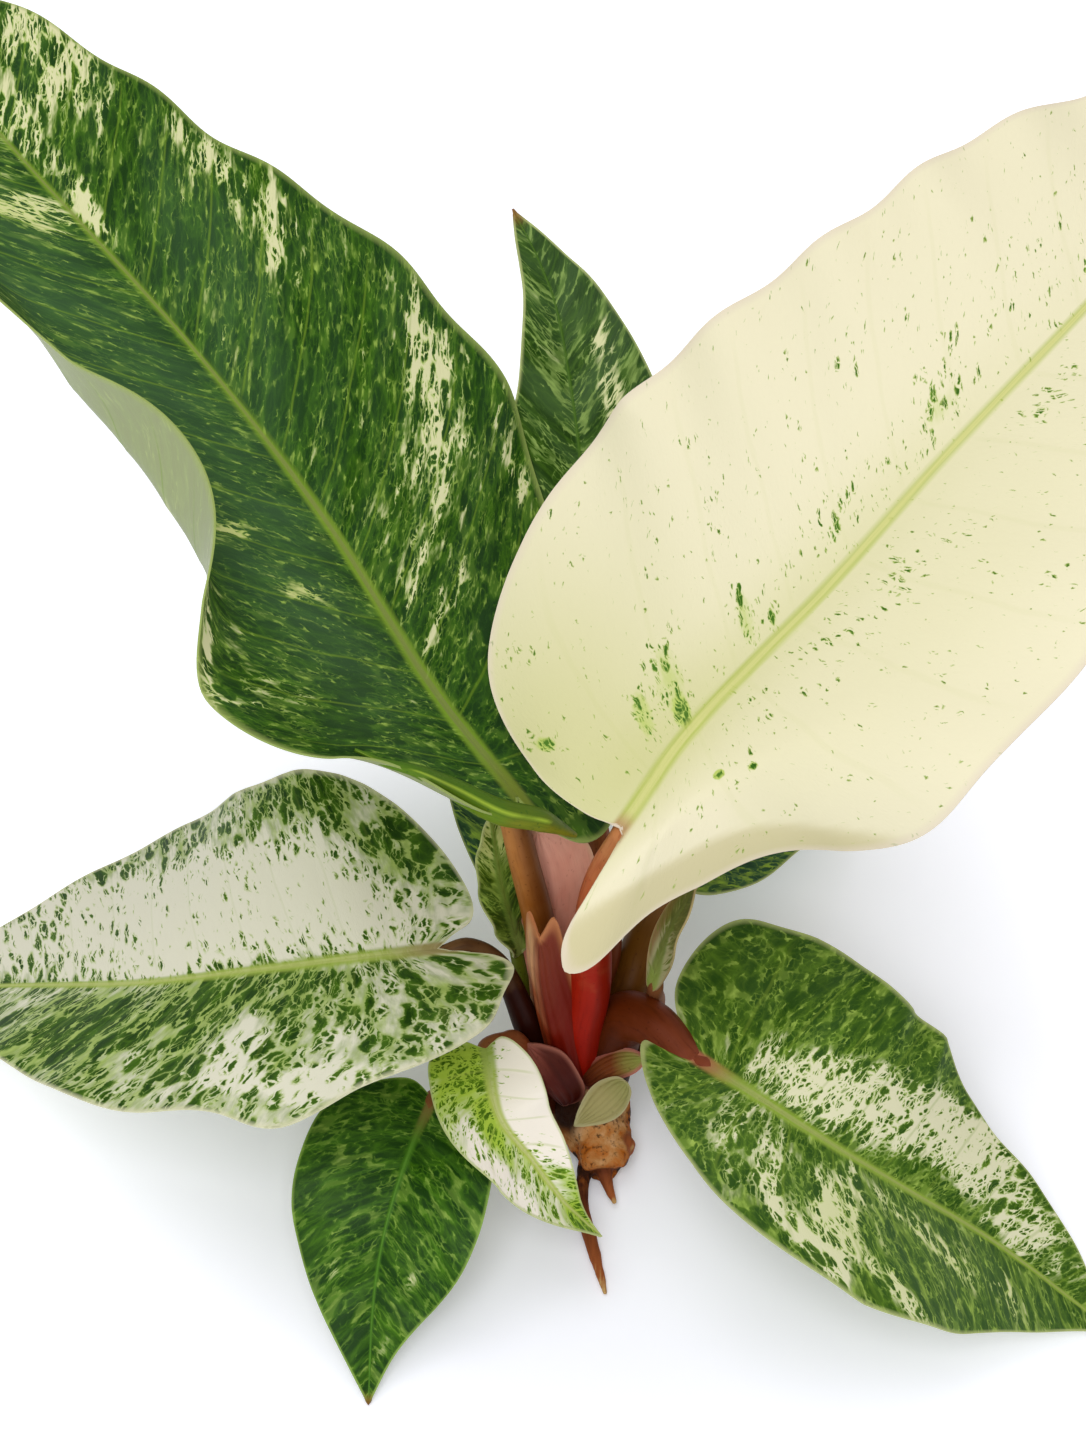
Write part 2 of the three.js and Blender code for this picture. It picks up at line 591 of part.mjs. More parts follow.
// A piece less the room that its neighbours need. Loose scraps are dropped.
function cutClear(geometry, neighbours) {
  let solid = toSolid(geometry);
  for (const neighbour of neighbours) solid = solid.subtract(neighbour);
  const pieces = solid.decompose();
  return pieces.reduce((best, piece) => (piece.volume() > best.volume() ? piece : best));
}

// The plant

const plant = new THREE.Group();

function addPiece({ name, colour }, geometry, roughness) {
  const material = new THREE.MeshStandardMaterial({ color: colour, roughness, metalness: 0 });
  const mesh = new THREE.Mesh(geometry, material);
  mesh.name = name;
  plant.add(mesh);
}

function prepared(blade) {
  const curve = curveThrough(blade.rib);
  return { ...blade, curve, length: curve.getLength() };
}

function sheathAsBlade(sheath) {
  const half = { fold: sheath.fold, arch: sheath.arch, wave: SHEATH_RIPPLE, curls: [], edge: sheath.edge };
  return prepared({ ...sheath, left: half, right: half, ribDepth: 0 });
}

// What later pieces keep clear of: each piece so far, and its copy swollen by the seat gap
const room = [];

function keepClear(shape) {
  room.push(toSolid(shape(SEAT_GAP)), toSolid(shape(0)));
}

function addRhizome() {
  let solid = toSolid(rhizomeGeometry());
  for (const { points, radius } of ROOTS) {
    solid = solid.add(toSolid(stalkGeometry(points, radius, ROOT_SIDES, ROOT_RINGS)));
  }
  addPiece(RHIZOME, toGeometry(solid), RHIZOME_ROUGHNESS);
  keepClear(rhizomeGeometry);
}

function addBlades() {
  for (const blade of BLADES.map(prepared)) {
    const shape = (extra) => bladeGeometry(blade, BLADE_THICKNESS, extra);
    addPiece(blade, shape(0), BLADE_ROUGHNESS);
    keepClear(shape);
  }
}

function addStalks() {
  for (const stalk of STALKS) {
    const blade = prepared(BLADES.find(({ name }) => name === stalk.blade));
    const seat = ribFrame(blade, STALK_SEAT);
    const end = seat.place.addScaledVector(seat.normal, -stalk.radius[stalk.radius.length - 1]);
    const path = [...stalk.points, end.toArray()];
    const shape = (extra) => stalkGeometry(path, stalk.radius, STALK_SIDES, STALK_RINGS, extra);
    addPiece(stalk, toGeometry(cutClear(shape(0), room)), STALK_ROUGHNESS);
    keepClear(shape);
  }
}

function addSheaths() {
  for (const sheath of SHEATHS.map(sheathAsBlade)) {
    const shape = (extra) => bladeGeometry(sheath, SHEATH_THICKNESS, extra);
    addPiece(sheath, toGeometry(cutClear(shape(0), room)), SHEATH_ROUGHNESS);
    keepClear(shape);
  }
}

addRhizome();
addBlades();
addStalks();
addSheaths();

export default plant;
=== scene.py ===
"""Dresses a bare-rooted variegated anthurium: marbled blades, stalks, old sheaths, rhizome and roots."""

import logging
import math
from dataclasses import dataclass
from enum import Enum

import bpy
import numpy as np
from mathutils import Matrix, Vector, noise


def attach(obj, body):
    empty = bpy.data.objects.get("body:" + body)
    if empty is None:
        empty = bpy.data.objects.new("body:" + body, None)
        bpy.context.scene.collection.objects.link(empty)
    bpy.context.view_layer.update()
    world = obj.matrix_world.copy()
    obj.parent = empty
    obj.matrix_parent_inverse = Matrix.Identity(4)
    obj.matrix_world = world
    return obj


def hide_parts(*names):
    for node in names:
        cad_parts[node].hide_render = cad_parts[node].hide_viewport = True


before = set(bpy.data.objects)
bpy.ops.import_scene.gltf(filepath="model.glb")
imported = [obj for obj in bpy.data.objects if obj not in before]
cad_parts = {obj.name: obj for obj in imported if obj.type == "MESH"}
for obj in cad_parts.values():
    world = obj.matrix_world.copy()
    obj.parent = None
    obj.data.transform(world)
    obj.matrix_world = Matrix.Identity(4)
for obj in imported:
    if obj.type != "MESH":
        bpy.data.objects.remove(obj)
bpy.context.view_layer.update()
BODY = "root"
LOG = logging.getLogger("anthurium")
Socket = bpy.types.NodeSocket

# The scene is in metres, and the plant's sizes below are in millimetres
MM = 0.001
# One step of a UV map stands for this many millimetres of leaf
UV_MM = 100.0

# How a blade's rows run from the rib out to the margin, and how its mesh crowds at its base and its rib
ROW_POWER = 1.35
VEIN_SWEEP = 1.4
BASE_CROWDING = 1.15
RIB_CROWDING = 1.35
# Where along the rib the margin's ripple starts and over how much of it, and how far it leans to the tip
RIPPLE_START = -0.12
RIPPLE_SPAN = 1.14
RIPPLE_LEAN = 0.5
# How many steps stand for a half's bend, a calmed direction, a path and a root
BEND_STEPS = 12
CALM_STEPS = 5
PATH_STEPS = 400
ROOT_STEPS = 41

# Thicknesses in millimetres, how near two vertices are one, and how the rib stands out and fades
WELD_MM = 0.02
BLADE_THICKNESS = 0.5
SHEATH_THICKNESS = 0.6
RIB_FADE = 0.75
RIB_RISE = 0.45
FOOT_MM = 8.0
RESTING_THICKNESS = 0.5
# Where across a blade its length is measured, where along it the tip starts, and a stalk's end in radii
SPACING_ACROSS = 0.6
TIP_FROM = 0.955
END_SHARE = 0.05
# Edges sharper than this many degrees stay sharp
SHEET_ANGLE = 60
TUBE_ANGLE = 50

# Side veins fade in beside the rib and over the blade's foot, and out by the margin
VEIN_RISE = 12
VEIN_END = 0.72
VEIN_FADE = 0.28
VEIN_LEAD_MM = 4
VEIN_FOOT_MM = 12
# How far out the rib and the margin line are solid, in shares of their width, and how softly they end
RIB_SOLID = 0.55
RIM_SOLID = 0.4
LINE_SOFT = 0.6
# The vein net: its big cells, the noises that bend and fray it per cell, and how its cells round off
BIG_CELL = 2.6
NET_BROAD = 0.22
NET_BEND = 3.2
NET_FINE = 1.3
CELL_ROUND = 0.62
# How far a pale thread reaches from a cell's edge per pale share, and how deep in it cream comes
THREAD_REACH = (0.34, -0.05)
CREAM_DEPTH = (-0.03, 0.14)
CLUMP_MIDDLE = 0.6
MIST_SPAN = 0.26
# Where the noise of the painted sheen is read from
SHEEN_SHIFT = (5.0, 9.0, 0.0)
# A side vein's sway in shares of the gap between veins, and its solid and soft half widths in its width
VEIN_WANDER = 0.15
VEIN_SOLID = 0.3
VEIN_SOFT = 1.3
# Fine lines along the rib: how often they turn across its width and in a millimetre along it
RIB_LINES = (4.0, 0.04, 1.0)
# The relief of a living skin in millimetres, and how strongly it shows
SKIN_RELIEF = 0.12
BUMP = 0.4
# Pale streaks along the side veins: their width and length in millimetres, and how strong they are
STREAKS = ((8.0, 22.0, 1.0), (2.4, 8.0, 0.75))
# The property that the second word of a node's kind sets
CHOICES = {
    "Math": "operation",
    "VectorMath": "operation",
    "MapRange": "interpolation_type",
    "Mix": "data_type",
    "TexVoronoi": "feature",
    "Attribute": "attribute_name",
    "UVMap": "uv_map",
}


class Side(Enum):
    """The half of a blade, seen from above with the tip ahead."""

    LEFT = -1
    RIGHT = 1


def linear(code: str) -> tuple[float, float, float, float]:
    """Turns an sRGB hex colour into a linear one.

    Args:
        code: the colour, as in "#2f5a33".

    Returns:
        Red, green, blue and alpha.
    """
    parts = [int(code[i:i + 2], 16) / 255 for i in (1, 3, 5)]
    red, green, blue = (p / 12.92 if p <= 0.04045 else ((p + 0.055) / 1.055) ** 2.4 for p in parts)
    return (red, green, blue, 1.0)


def smooth(x: np.ndarray) -> np.ndarray:
    """Eases from 0 to 1 as x does, flat at both ends."""
    c = np.clip(x, 0, 1)
    return c * c * (3 - 2 * c)


def spread(values: tuple, share: np.ndarray) -> np.ndarray:
    """Reads values that stand at even steps at shares of the way, from 0 to 1."""
    return np.interp(share, np.linspace(0, 1, len(values)), values)


def value_along(values: tuple | float, share: np.ndarray) -> np.ndarray:
    """Eases between a value at the base, one at the middle and one at the tip.

    Args:
        values: the three values, or the one that holds all along.
        share: how far along the rib, from 0 to 1.

    Returns:
        The value at each share.
    """
    base, middle, tip = np.broadcast_to(values, 3)
    first = base + (middle - base) * smooth(share * 2)
    second = middle + (tip - middle) * smooth(share * 2 - 1)
    return np.where(share < 0.5, first, second)


class Path:
    """A smooth curve through points, measured by its length."""

    def __init__(self, points: tuple) -> None:
        """Samples the curve finely.

        Args:
            points: the points that it passes through, in two or three coordinates.
        """
        given = np.array(points, float)
        before = 2 * given[0] - given[1]
        after = 2 * given[-1] - given[-2]
        ring = np.vstack([before, given, after])
        place = np.linspace(0, len(given) - 1, PATH_STEPS + 1)
        i = np.minimum(place.astype(int), len(given) - 2)
        w = (place - i)[:, None]
        p0, p1, p2, p3 = ring[i], ring[i + 1], ring[i + 2], ring[i + 3]
        slope0 = (p2 - p0) / 2
        slope1 = (p3 - p1) / 2
        cubic = 2 * p1 - 2 * p2 + slope0 + slope1
        square = 3 * p2 - 3 * p1 - 2 * slope0 - slope1
        self.samples = cubic * w ** 3 + square * w ** 2 + slope0 * w + p1
        steps = np.linalg.norm(np.diff(self.samples, axis=0), axis=1)
        self.distance = np.concatenate([[0], np.cumsum(steps)])
        self.length = float(self.distance[-1])
        rise = np.gradient(self.samples, axis=0)
        self.slopes = rise / np.maximum(np.linalg.norm(rise, axis=1), 1e-12)[:, None]

    def _read(self, table: np.ndarray, share: np.ndarray) -> np.ndarray:
        """Reads a sampled table at shares of the length."""
        at = np.clip(share, 0, 1) * self.length
        return np.stack([np.interp(at, self.distance, column) for column in table.T], axis=-1)

    def place(self, share: np.ndarray) -> np.ndarray:
        """Gives the points at shares of the length, from 0 to 1."""
        return self._read(self.samples, share)

    def direction(self, share: np.ndarray) -> np.ndarray:
        """Gives the unit directions at shares of the length, from 0 to 1."""
        slopes = self._read(self.slopes, share)
        return slopes / np.linalg.norm(slopes, axis=-1, keepdims=True)


@dataclass(frozen=True)
class Curl:
    """A stretch of a half blade that rolls up or down.

    Its middle and half length are shares of the rib, and its start and ease are shares of the width.
    """

    at: float
    span: float
    start: float
    over: float
    turn: float


@dataclass(frozen=True)
class HalfBlade:
    """One half of a blade: its angles across at base, middle and tip, its ripple, curls and flat outline."""

    fold: tuple | float
    wave: tuple
    edge: tuple
    arch: tuple | float = 0
    curls: tuple = ()


@dataclass(frozen=True)
class BladeShape:
    """A blade's rib line, its two halves, and the way that its upper side faces.

    Calm is the share of the rib over which its direction is evened out, for a smoother margin.
    """

    name: str
    rib: tuple
    left: HalfBlade
    right: HalfBlade
    rib_depth: float = 0.0
    roll: tuple | float = 0
    face: tuple = (0, 0, 1)
    calm: float = 0.0


@dataclass(frozen=True)
class Patch:
    """A soft-edged oval on a blade where its tissue is paler, or darker where the amount is negative. The
    same ovals lay the cast and the painted shade of a turned-down fold.

    Its middle is so far along and to the right of the rib's foot, in millimetres on the flat blade. Where a
    half is named, the rib cuts it off. The crisper it is, the sharper its edge.
    """

    along: float
    out: float
    long: float
    wide: float
    amount: float
    turn: float = 0.0
    half: Side | None = None
    crisp: float = 2.0

    def cover(self, along: np.ndarray, out: np.ndarray) -> np.ndarray:
        """Gives the patch's amount at points on the flat blade."""
        lean = math.radians(self.turn)
        x = (along - self.along) * math.cos(lean) + (out - self.out) * math.sin(lean)
        y = (out - self.out) * math.cos(lean) - (along - self.along) * math.sin(lean)
        inside = np.exp(-((x / self.long) ** 2 + (y / self.wide) ** 2) ** self.crisp)
        if self.half is not None:
            inside = inside * (out * self.half.value > 0)
        return self.amount * inside


class BladeSurface:
    """The middle surface of a blade, worked out at any row and column."""

    def __init__(self, shape: BladeShape) -> None:
        """Prepares the rib's curve and the two margins.

        Args:
            shape: the blade's sizes.
        """
        self.shape = shape
        self.rib = Path(shape.rib)
        self.edges = {Side.LEFT: self._edge(shape.left), Side.RIGHT: self._edge(shape.right)}

    def _edge(self, half: HalfBlade) -> Path:
        """Stretches a half's outline to the rib's length."""
        scale = self.rib.length / half.edge[-1][0]
        return Path(tuple((along * scale, out) for along, out in half.edge))

    def frame_at(self, share: np.ndarray) -> tuple[np.ndarray, np.ndarray, np.ndarray]:
        """Gives the rib's frame, which slides on straight past both ends.

        Args:
            share: how far along the rib.

        Returns:
            Places, directions to the right, and normals of the upper side.
        """
        steps = np.linspace(-1, 1, CALM_STEPS) * self.shape.calm
        ahead = sum(self.rib.direction(share + step) for step in steps)
        ahead /= np.linalg.norm(ahead, axis=-1, keepdims=True)
        past = (share - np.clip(share, 0, 1))[..., None] * self.rib.length
        place = self.rib.place(share) + ahead * past
        face = np.array(self.shape.face, float)
        up = face - (ahead @ face)[..., None] * ahead
        up /= np.linalg.norm(up, axis=-1, keepdims=True)
        side = np.cross(ahead, up)
        roll = np.radians(value_along(self.shape.roll, share))[..., None]
        normal = up * np.cos(roll) + side * np.sin(roll)
        right = side * np.cos(roll) - up * np.sin(roll)
        return place, right, normal

    def _angle(self, half: HalfBlade, share: np.ndarray, across: np.ndarray) -> np.ndarray:
        """Gives the blade's slope in radians at a share of the rib and of the width."""
        angle = value_along(half.fold, share) + value_along(half.arch, share) * across
        for curl in half.curls:
            away = np.clip(np.abs((share - curl.at) / curl.span), 0, 1)
            angle = angle + curl.turn * smooth((across - curl.start) / curl.over) * (1 - away ** 2) ** 2
        return np.radians(angle)

    def points(self, side: Side, row: np.ndarray, across: np.ndarray) -> dict[str, np.ndarray]:
        """Works out points of one half.

        Args:
            side: the half.
            row: the row of each point, 0 at the base and 1 at the tip.
            across: its share of the way from rib to margin.

        Returns:
            The places, with how far along the flat blade, out from the rib and in from the margin they are.
        """
        half = self.shape.left if side is Side.LEFT else self.shape.right
        margin = self.edges[side].place(row)
        width = np.maximum(margin[..., 1], 0)
        foot = row ** ROW_POWER
        share = foot + (margin[..., 0] / self.rib.length - foot) * across ** VEIN_SWEEP
        reach = np.zeros_like(share)
        lift = np.zeros_like(share)
        for k in range(BEND_STEPS):
            angle = self._angle(half, share, across * (k + 0.5) / BEND_STEPS)
            reach += np.cos(angle) * width * across / BEND_STEPS
            lift += np.sin(angle) * width * across / BEND_STEPS
        height, count, phase = half.wave
        swell = np.sqrt(np.maximum(0, np.sin(np.pi * np.clip((share - RIPPLE_START) / RIPPLE_SPAN, 0, 1))))
        turns = count * (share - RIPPLE_LEAN * width * across / self.rib.length) + phase
        lift += height * swell * across ** 2 * np.sin(2 * np.pi * turns)
        place, right, normal = self.frame_at(share)
        where = place + right * (reach * side.value)[..., None] + normal * lift[..., None]
        return {
            "place": where,
            "share": share,
            "along": share * self.rib.length,
            "out": width * across,
            "inward": width * (1 - across),
        }


def fresh_object(name: str) -> bpy.types.Object:
    """Names the object that a primitive operator has just made, with its mesh."""
    piece = bpy.context.object
    piece.name = piece.data.name = name
    return piece


def read(items: bpy.types.bpy_prop_collection, name: str, width: int = 1) -> np.ndarray:
    """Reads a property of each item of a mesh as an array.

    Args:
        items: the mesh's vertices, normals or stored values.
        name: the property.
        width: how many numbers each item has.

    Returns:
        A row for each item, or a number where the width is one.
    """
    flat = np.empty(len(items) * width, np.float32)
    items.foreach_get(name, flat)
    return (flat if width == 1 else flat.reshape(-1, width)).astype(float)


def read_places(piece: bpy.types.Object) -> np.ndarray:
    """Reads a mesh's vertices as an array."""
    return read(piece.data.vertices, "co", 3)


def read_normals(piece: bpy.types.Object) -> np.ndarray:
    """Reads a mesh's vertex normals as an array."""
    return read(piece.data.vertex_normals, "vector", 3)


def write_places(piece: bpy.types.Object, places: np.ndarray) -> None:
    """Writes an array of places to a mesh's vertices."""
    piece.data.vertices.foreach_set("co", places.astype(np.float32).ravel())
    piece.data.update()


def store(piece: bpy.types.Object, name: str, values: np.ndarray) -> None:
    """Stores a number or a vector for each vertex under a name that a material can read."""
    kind, key = ("FLOAT", "value") if values.ndim == 1 else ("FLOAT_VECTOR", "vector")
    attribute = piece.data.attributes.new(name, kind, "POINT")
    attribute.data.foreach_set(key, values.astype(np.float32).ravel())


def recall(piece: bpy.types.Object, name: str) -> np.ndarray:
    """Reads back the numbers that were stored for each vertex."""
    return read(piece.data.attributes[name].data, "value")


def store_uv(piece: bpy.types.Object, name: str, lengths: np.ndarray) -> None:
    """Makes a UV map from two lengths in millimetres for each vertex."""
    layer = piece.data.uv_layers.new(name=name)
    corners = np.empty(len(piece.data.loops), np.int32)
    piece.data.loops.foreach_get("vertex_index", corners)
    layer.data.foreach_set("uv", (lengths[corners] / UV_MM).astype(np.float32).ravel())


def only(piece: bpy.types.Object) -> None:
    """Selects one object and makes it the active one."""
    bpy.ops.object.select_all(action="DESELECT")
    piece.select_set(True)
    bpy.context.view_layer.objects.active = piece


def apply_modifier(piece: bpy.types.Object, kind: str, **settings: object) -> None:
    """Adds a modifier with its settings and applies it.

    Args:
        piece: the mesh object.
        kind: the modifier's type.
        settings: its properties by name.
    """
    only(piece)
    modifier = piece.modifiers.new(kind.title(), kind)
    for name, value in settings.items():
        setattr(modifier, name, value)
    bpy.ops.object.modifier_apply(modifier=modifier.name)


def finish_piece(
    piece: bpy.types.Object, material: bpy.types.Material, nodes: tuple, slot: str, angle: float
) -> bpy.types.Object:
    """Dresses a finished piece and ties it to the body and the nodes that it stands for.

    Args:
        piece: the mesh object.
        material: what it is made of.
        nodes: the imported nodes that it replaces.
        slot: the record's material slot; not used.
        angle: edges sharper than this many degrees stay sharp.

    Returns:
        The piece.
    """
    piece.data.materials.append(material)
    only(piece)
    bpy.ops.object.shade_smooth_by_angle(angle=math.radians(angle))
    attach(piece, BODY)
    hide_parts(*nodes)
    LOG.info("%s: %d faces", piece.name, len(piece.data.polygons))
    return piece


class Paint:
    """A material, with the nodes that lead to its one shader."""

    def __init__(self, name: str) -> None:
        """Makes an empty material, named for what the real surface is."""
        self.material = bpy.data.materials.new(name)
        self.material.use_nodes = True
        self.tree = self.material.node_tree
        self.tree.nodes.clear()

    def give(self, socket: Socket, value: object) -> None:
        """Links another node's output to an input, or sets the input to a constant or a hex colour."""
        if isinstance(value, Socket):
            self.tree.links.new(value, socket)
        elif value is not None:
            socket.default_value = linear(value) if isinstance(value, str) else value

    def add(self, kind: str, *values: object, out: str = "", stops: tuple = (), **settings: object) -> Socket:
        """Adds a node with its settings, its links and constants, and a ramp's stops.

        Args:
            kind: the node's type and, after a space, the setting that CHOICES names for it.
            values: an output or a constant for each of its inputs in turn, or None to leave one as it is.
            out: the output that is wanted, where it isn't the first one.
            stops: the ramp's places and colours.
            settings: the node's other properties by name.

        Returns:
            The node's output.
        """
        kind, _, choice = kind.partition(" ")
        if choice:
            settings[CHOICES[kind]] = choice
        node = self.tree.nodes.new("ShaderNode" + kind)
        for name, value in settings.items():
            setattr(node, name, value)
        for socket, value in zip([each for each in node.inputs if each.enabled], values):
            self.give(socket, value)
        for k, (place, code) in enumerate(stops):
            elements = node.color_ramp.elements
            element = elements[k] if k < len(elements) else elements.new(place)
            element.position = place
            element.color = linear(code)
        return node.outputs[out] if out else next(each for each in node.outputs if each.enabled)

    def finish(self, inputs: dict[str, object]) -> bpy.types.Material:
        """Ends the nodes in the shader, whose inputs are given by name, and hands over the material."""
        shader = self.tree.nodes.new("ShaderNodeBsdfPrincipled")
        output = self.tree.nodes.new("ShaderNodeOutputMaterial")
        self.give(output.inputs["Surface"], shader.outputs[0])
        for name, value in inputs.items():
            self.give(shader.inputs[name], value)
        return self.material


@dataclass(frozen=True)
class LeafFinish:
    """A living blade: glossy green tissue whose small cells have lost their green here and there; its greens
    carry a painted sheen.

    Sizes are in millimetres. The pale share says how much of the tissue is cream where no patch lies. The
    grain, mist, shades and sheen scale are how often noise turns in a millimetre across and along the side
    veins.
    """

    name: str
    deep: str = "#234213"
    green: str = "#44700f"
    # Mixed into the greens: on most leaves a bluish grey that paints the sheen of the white surroundings, on
    # the cream and young soft leaves a tint of their own
    sheen_and_tint: str = "#4c6540"
    lime: str = "#8fae3e"
    cream: str = "#d9d8a8"
    cast: str = "#b9c468"
    rib: str = "#8fa64c"
    rib_edge: str = "#7c9a34"
    rib_base: str = "#93a84e"
    margin: str = "#b4bd7c"
    under: str = "#aeb588"
    tip: str = "#8a5c2a"
    # Beige for the painted shade on the turned-down part of a fold
    dull: str = "#cdc498"
    pale: float = 0.12
    cell: float = 1.3
    stretch: float = 1.9
    jitter: float = 0.14
    clumps: float = 0.3
    patchiness: float = 0.3
    fray: float = 1.0
    strands: float = 1.2
    faintness: float = 0.8
    faint_from: float = 0.4
    bluish: float = 0.15
    softness: float = 0.05
    cream_from: float = 0.22
    cream_to: float = 0.55
    vein_mm: float = 18.0
    vein_width: float = 0.45
    vein_show: float = 0.3
    roughness: float = 0.42
    gloss: float = 0.08
    under_show: float = 0.7
    rib_show: float = 0.92
    rim_show: float = 0.8
    pucker: float = 0.8
    grain: tuple = (3.0, 0.6, 1.0)
    mist: tuple = (0.7, 0.3, 1.0)
    shades: tuple = (0.3, 0.1, 1.0)
    sheen_scale: tuple = (0.09, 0.03, 1.0)

    def build(self) -> bpy.types.Material:
        """Builds the material: cream cells on green, with rib, veins, margin and a paler underside.

        The skin has a satin gloss, fine striae along the veins and puckered cells.
        """
        paint = Paint(self.name)
        spot = paint.add("VectorMath SCALE", paint.add("UVMap veins"), UV_MM)
        small, big = self._cells(paint, spot)
        local = self._pale_share(paint, spot)
        excess = self._excess(paint, local, small, big)
        grain = paint.add("Mapping", spot, None, None, self.grain)
        fine = paint.add("TexNoise", grain, 1.0, 3.0)
        pucker = paint.add("Math MULTIPLY_ADD", small[0], self.pucker, fine)
        return paint.finish({
            "Base Color": self._lines(paint, spot, self._skin(paint, spot, local, excess)),
            "Roughness": paint.add(
                "MapRange", fine, 0.0, 1.0, self.roughness - 0.08, self.roughness + 0.12),
            "Normal": paint.add("Bump", BUMP, SKIN_RELIEF * MM, None, pucker),
            "Specular IOR Level": self.gloss,
        })

    def _cells(self, paint: Paint, spot: Socket) -> list:
        """Lays the small and big cells of the vein net, drawn out along the side veins.

        Args:
            paint: the material.
            spot: the place across and along the side veins, in millimetres.

        Returns:
            For the small and the big cells, how deep a spot lies in its cell and a chance for each cell.
        """
        broad = paint.add("TexNoise", spot, NET_BROAD / self.cell, 1.0, out="Color")
        bent = paint.add("VectorMath MULTIPLY_ADD", broad, (NET_BEND * self.cell,) * 3, spot)
        fine = paint.add("TexNoise", spot, NET_FINE / self.cell, 3.0, out="Color")
        frayed = paint.add("VectorMath MULTIPLY_ADD", fine, (self.fray * self.cell,) * 3, bent)
        cells = []
        for size in (self.cell, BIG_CELL * self.cell):
            place = paint.add("Mapping", frayed, None, None, (1 / size, 1 / (size * self.stretch), 1.0))
            edges = paint.add("TexVoronoi DISTANCE_TO_EDGE", place, 1.0, voronoi_dimensions="2D")
            middles = paint.add("TexVoronoi F1", place, 1.0, voronoi_dimensions="2D")
            depth = paint.add("Math MINIMUM", edges, paint.add("Math SUBTRACT", CELL_ROUND, middles))
            cells.append((depth, paint.add("SeparateColor", middles.node.outputs["Color"])))
        return cells

    def _pale_share(self, paint: Paint, spot: Socket) -> Socket:
        """Works out the local share of pale tissue: what is painted, with streaks along the veins."""
        total = paint.add("Attribute pale", out="Fac")
        for across, along, weight in STREAKS:
            place = paint.add("Mapping", spot, (along, across, 0.0), None, (1 / across, 1 / along, 1.0))
            streaks = paint.add("TexNoise", place, 1.0, 3.0, 0.6)
            swing = self.patchiness * weight
            lifted = paint.add("Math MULTIPLY_ADD", streaks, 2 * swing, -swing)
            total = paint.add("Math ADD", total, lifted)
        return total

    def _excess(self, paint: Paint, local: Socket, small: tuple, big: tuple) -> Socket:
        """Works out by how much a spot is inside the pale threads that spread from the cells' edges."""
        reach = paint.add("Math MULTIPLY_ADD", local, *THREAD_REACH)
        sides = []
        for (depth, chance), swing, steep in (
            (small, self.jitter, 1.0), (big, 0.5 * self.jitter, self.strands),
        ):
            luck = paint.add("Math MULTIPLY_ADD", chance, swing, -swing / 2)
            inward = paint.add("Math MULTIPLY", depth, steep)
            sides.append(paint.add("Math SUBTRACT", paint.add("Math ADD", reach, luck), inward))
        clump = paint.add("Math MULTIPLY_ADD", big[1], self.clumps, -self.clumps * CLUMP_MIDDLE)
        return paint.add("Math MAXIMUM", paint.add("Math ADD", sides[0], clump), sides[1])

    def _skin(self, paint: Paint, spot: Socket, local: Socket, excess: Socket) -> Socket:
        """Colours the tissue from deep green to cream, turns the cream beige with painted shade where a fold
        turns down, and pales it on the underside.
        """
        cast, dull, under = (paint.add("Attribute " + name, out="Fac") for name in ("cast", "dull", "under"))
        rich = paint.add("MapRange SMOOTHSTEP", local, self.cream_from, self.cream_to)
        inside = paint.add("MapRange SMOOTHSTEP", excess, *CREAM_DEPTH)
        warm = paint.add("Mix RGBA", cast, self.cream, self.cast)
        # Painted shade: the cream turns beige where a fold turns down
        fold_shaded = paint.add("Mix RGBA", dull, warm, self.dull)
        creamy = paint.add("Math MULTIPLY", rich, inside)
        pales = paint.add("Mix RGBA", creamy, self.lime, fold_shaded)
        turned = paint.add("MapRange SMOOTHSTEP", excess, -self.softness, self.softness)
        mist = paint.add("TexNoise", paint.add("Mapping", spot, None, None, self.mist), 1.0, 3.0)
        seen = paint.add("MapRange", mist, self.faint_from, self.faint_from + MIST_SPAN, 1 - self.faintness)
        share = paint.add("Math MULTIPLY", turned, paint.add("Math MAXIMUM", seen, rich))
        skin = paint.add("Mix RGBA", share, self._greens(paint, spot, excess, cast), pales)
        faint = paint.add("Math MULTIPLY", under, self.under_show)
        return paint.add("Mix RGBA", faint, skin, self.under)

    def _greens(self, paint: Paint, spot: Socket, excess: Socket, cast: Socket) -> Socket:
        """Colours the green tissue: deep in the cells, fresher by the threads, and mixed with the sheen
        colour in random patches and where the cast lies; on most leaves this is a painted sheen.
        """
        broad = paint.add("TexNoise", paint.add("Mapping", spot, None, None, self.shades), 1.0, 6.0)
        halo = paint.add("MapRange", excess, -0.25, 0.0, -1.0, -0.4)
        tone = paint.add("Math MULTIPLY_ADD", broad, 2.2, halo, use_clamp=True)
        # Painted sheen: noise lays the sheen colour over the greens in random patches, and the cast lays more
        sheen_scale = paint.add("Mapping", spot, SHEEN_SHIFT, None, self.sheen_scale)
        sheen_patches = paint.add("MapRange", paint.add("TexNoise", sheen_scale, 1.0, 4.0), 0.38, 0.62, 0.0, self.bluish)
        sheened = paint.add("Math MULTIPLY_ADD", cast, 0.6, sheen_patches, use_clamp=True)
        fresh = paint.add("Mix RGBA", tone, self.deep, self.green)
        return paint.add("Mix RGBA", sheened, fresh, self.sheen_and_tint)

    def _lines(self, paint: Paint, spot: Socket, skin: Socket) -> Socket:
        """Draws the side veins, the rib, the thin pale margin and the tip over the tissue."""
        colour = skin
        for line, strength, ink in (
            (self._vein_share(paint, spot), self.vein_show, self.rib_edge),
            (paint.add("Attribute rib_line", out="Fac"), self.rib_show, self._rib_ink(paint, spot)),
            (paint.add("Attribute rim_line", out="Fac"), self.rim_show, self.margin),
            (paint.add("Attribute tip", out="Fac"), 1.0, self.tip),
        ):
            colour = paint.add("Mix RGBA", paint.add("Math MULTIPLY", line, strength), colour, ink)
        return colour

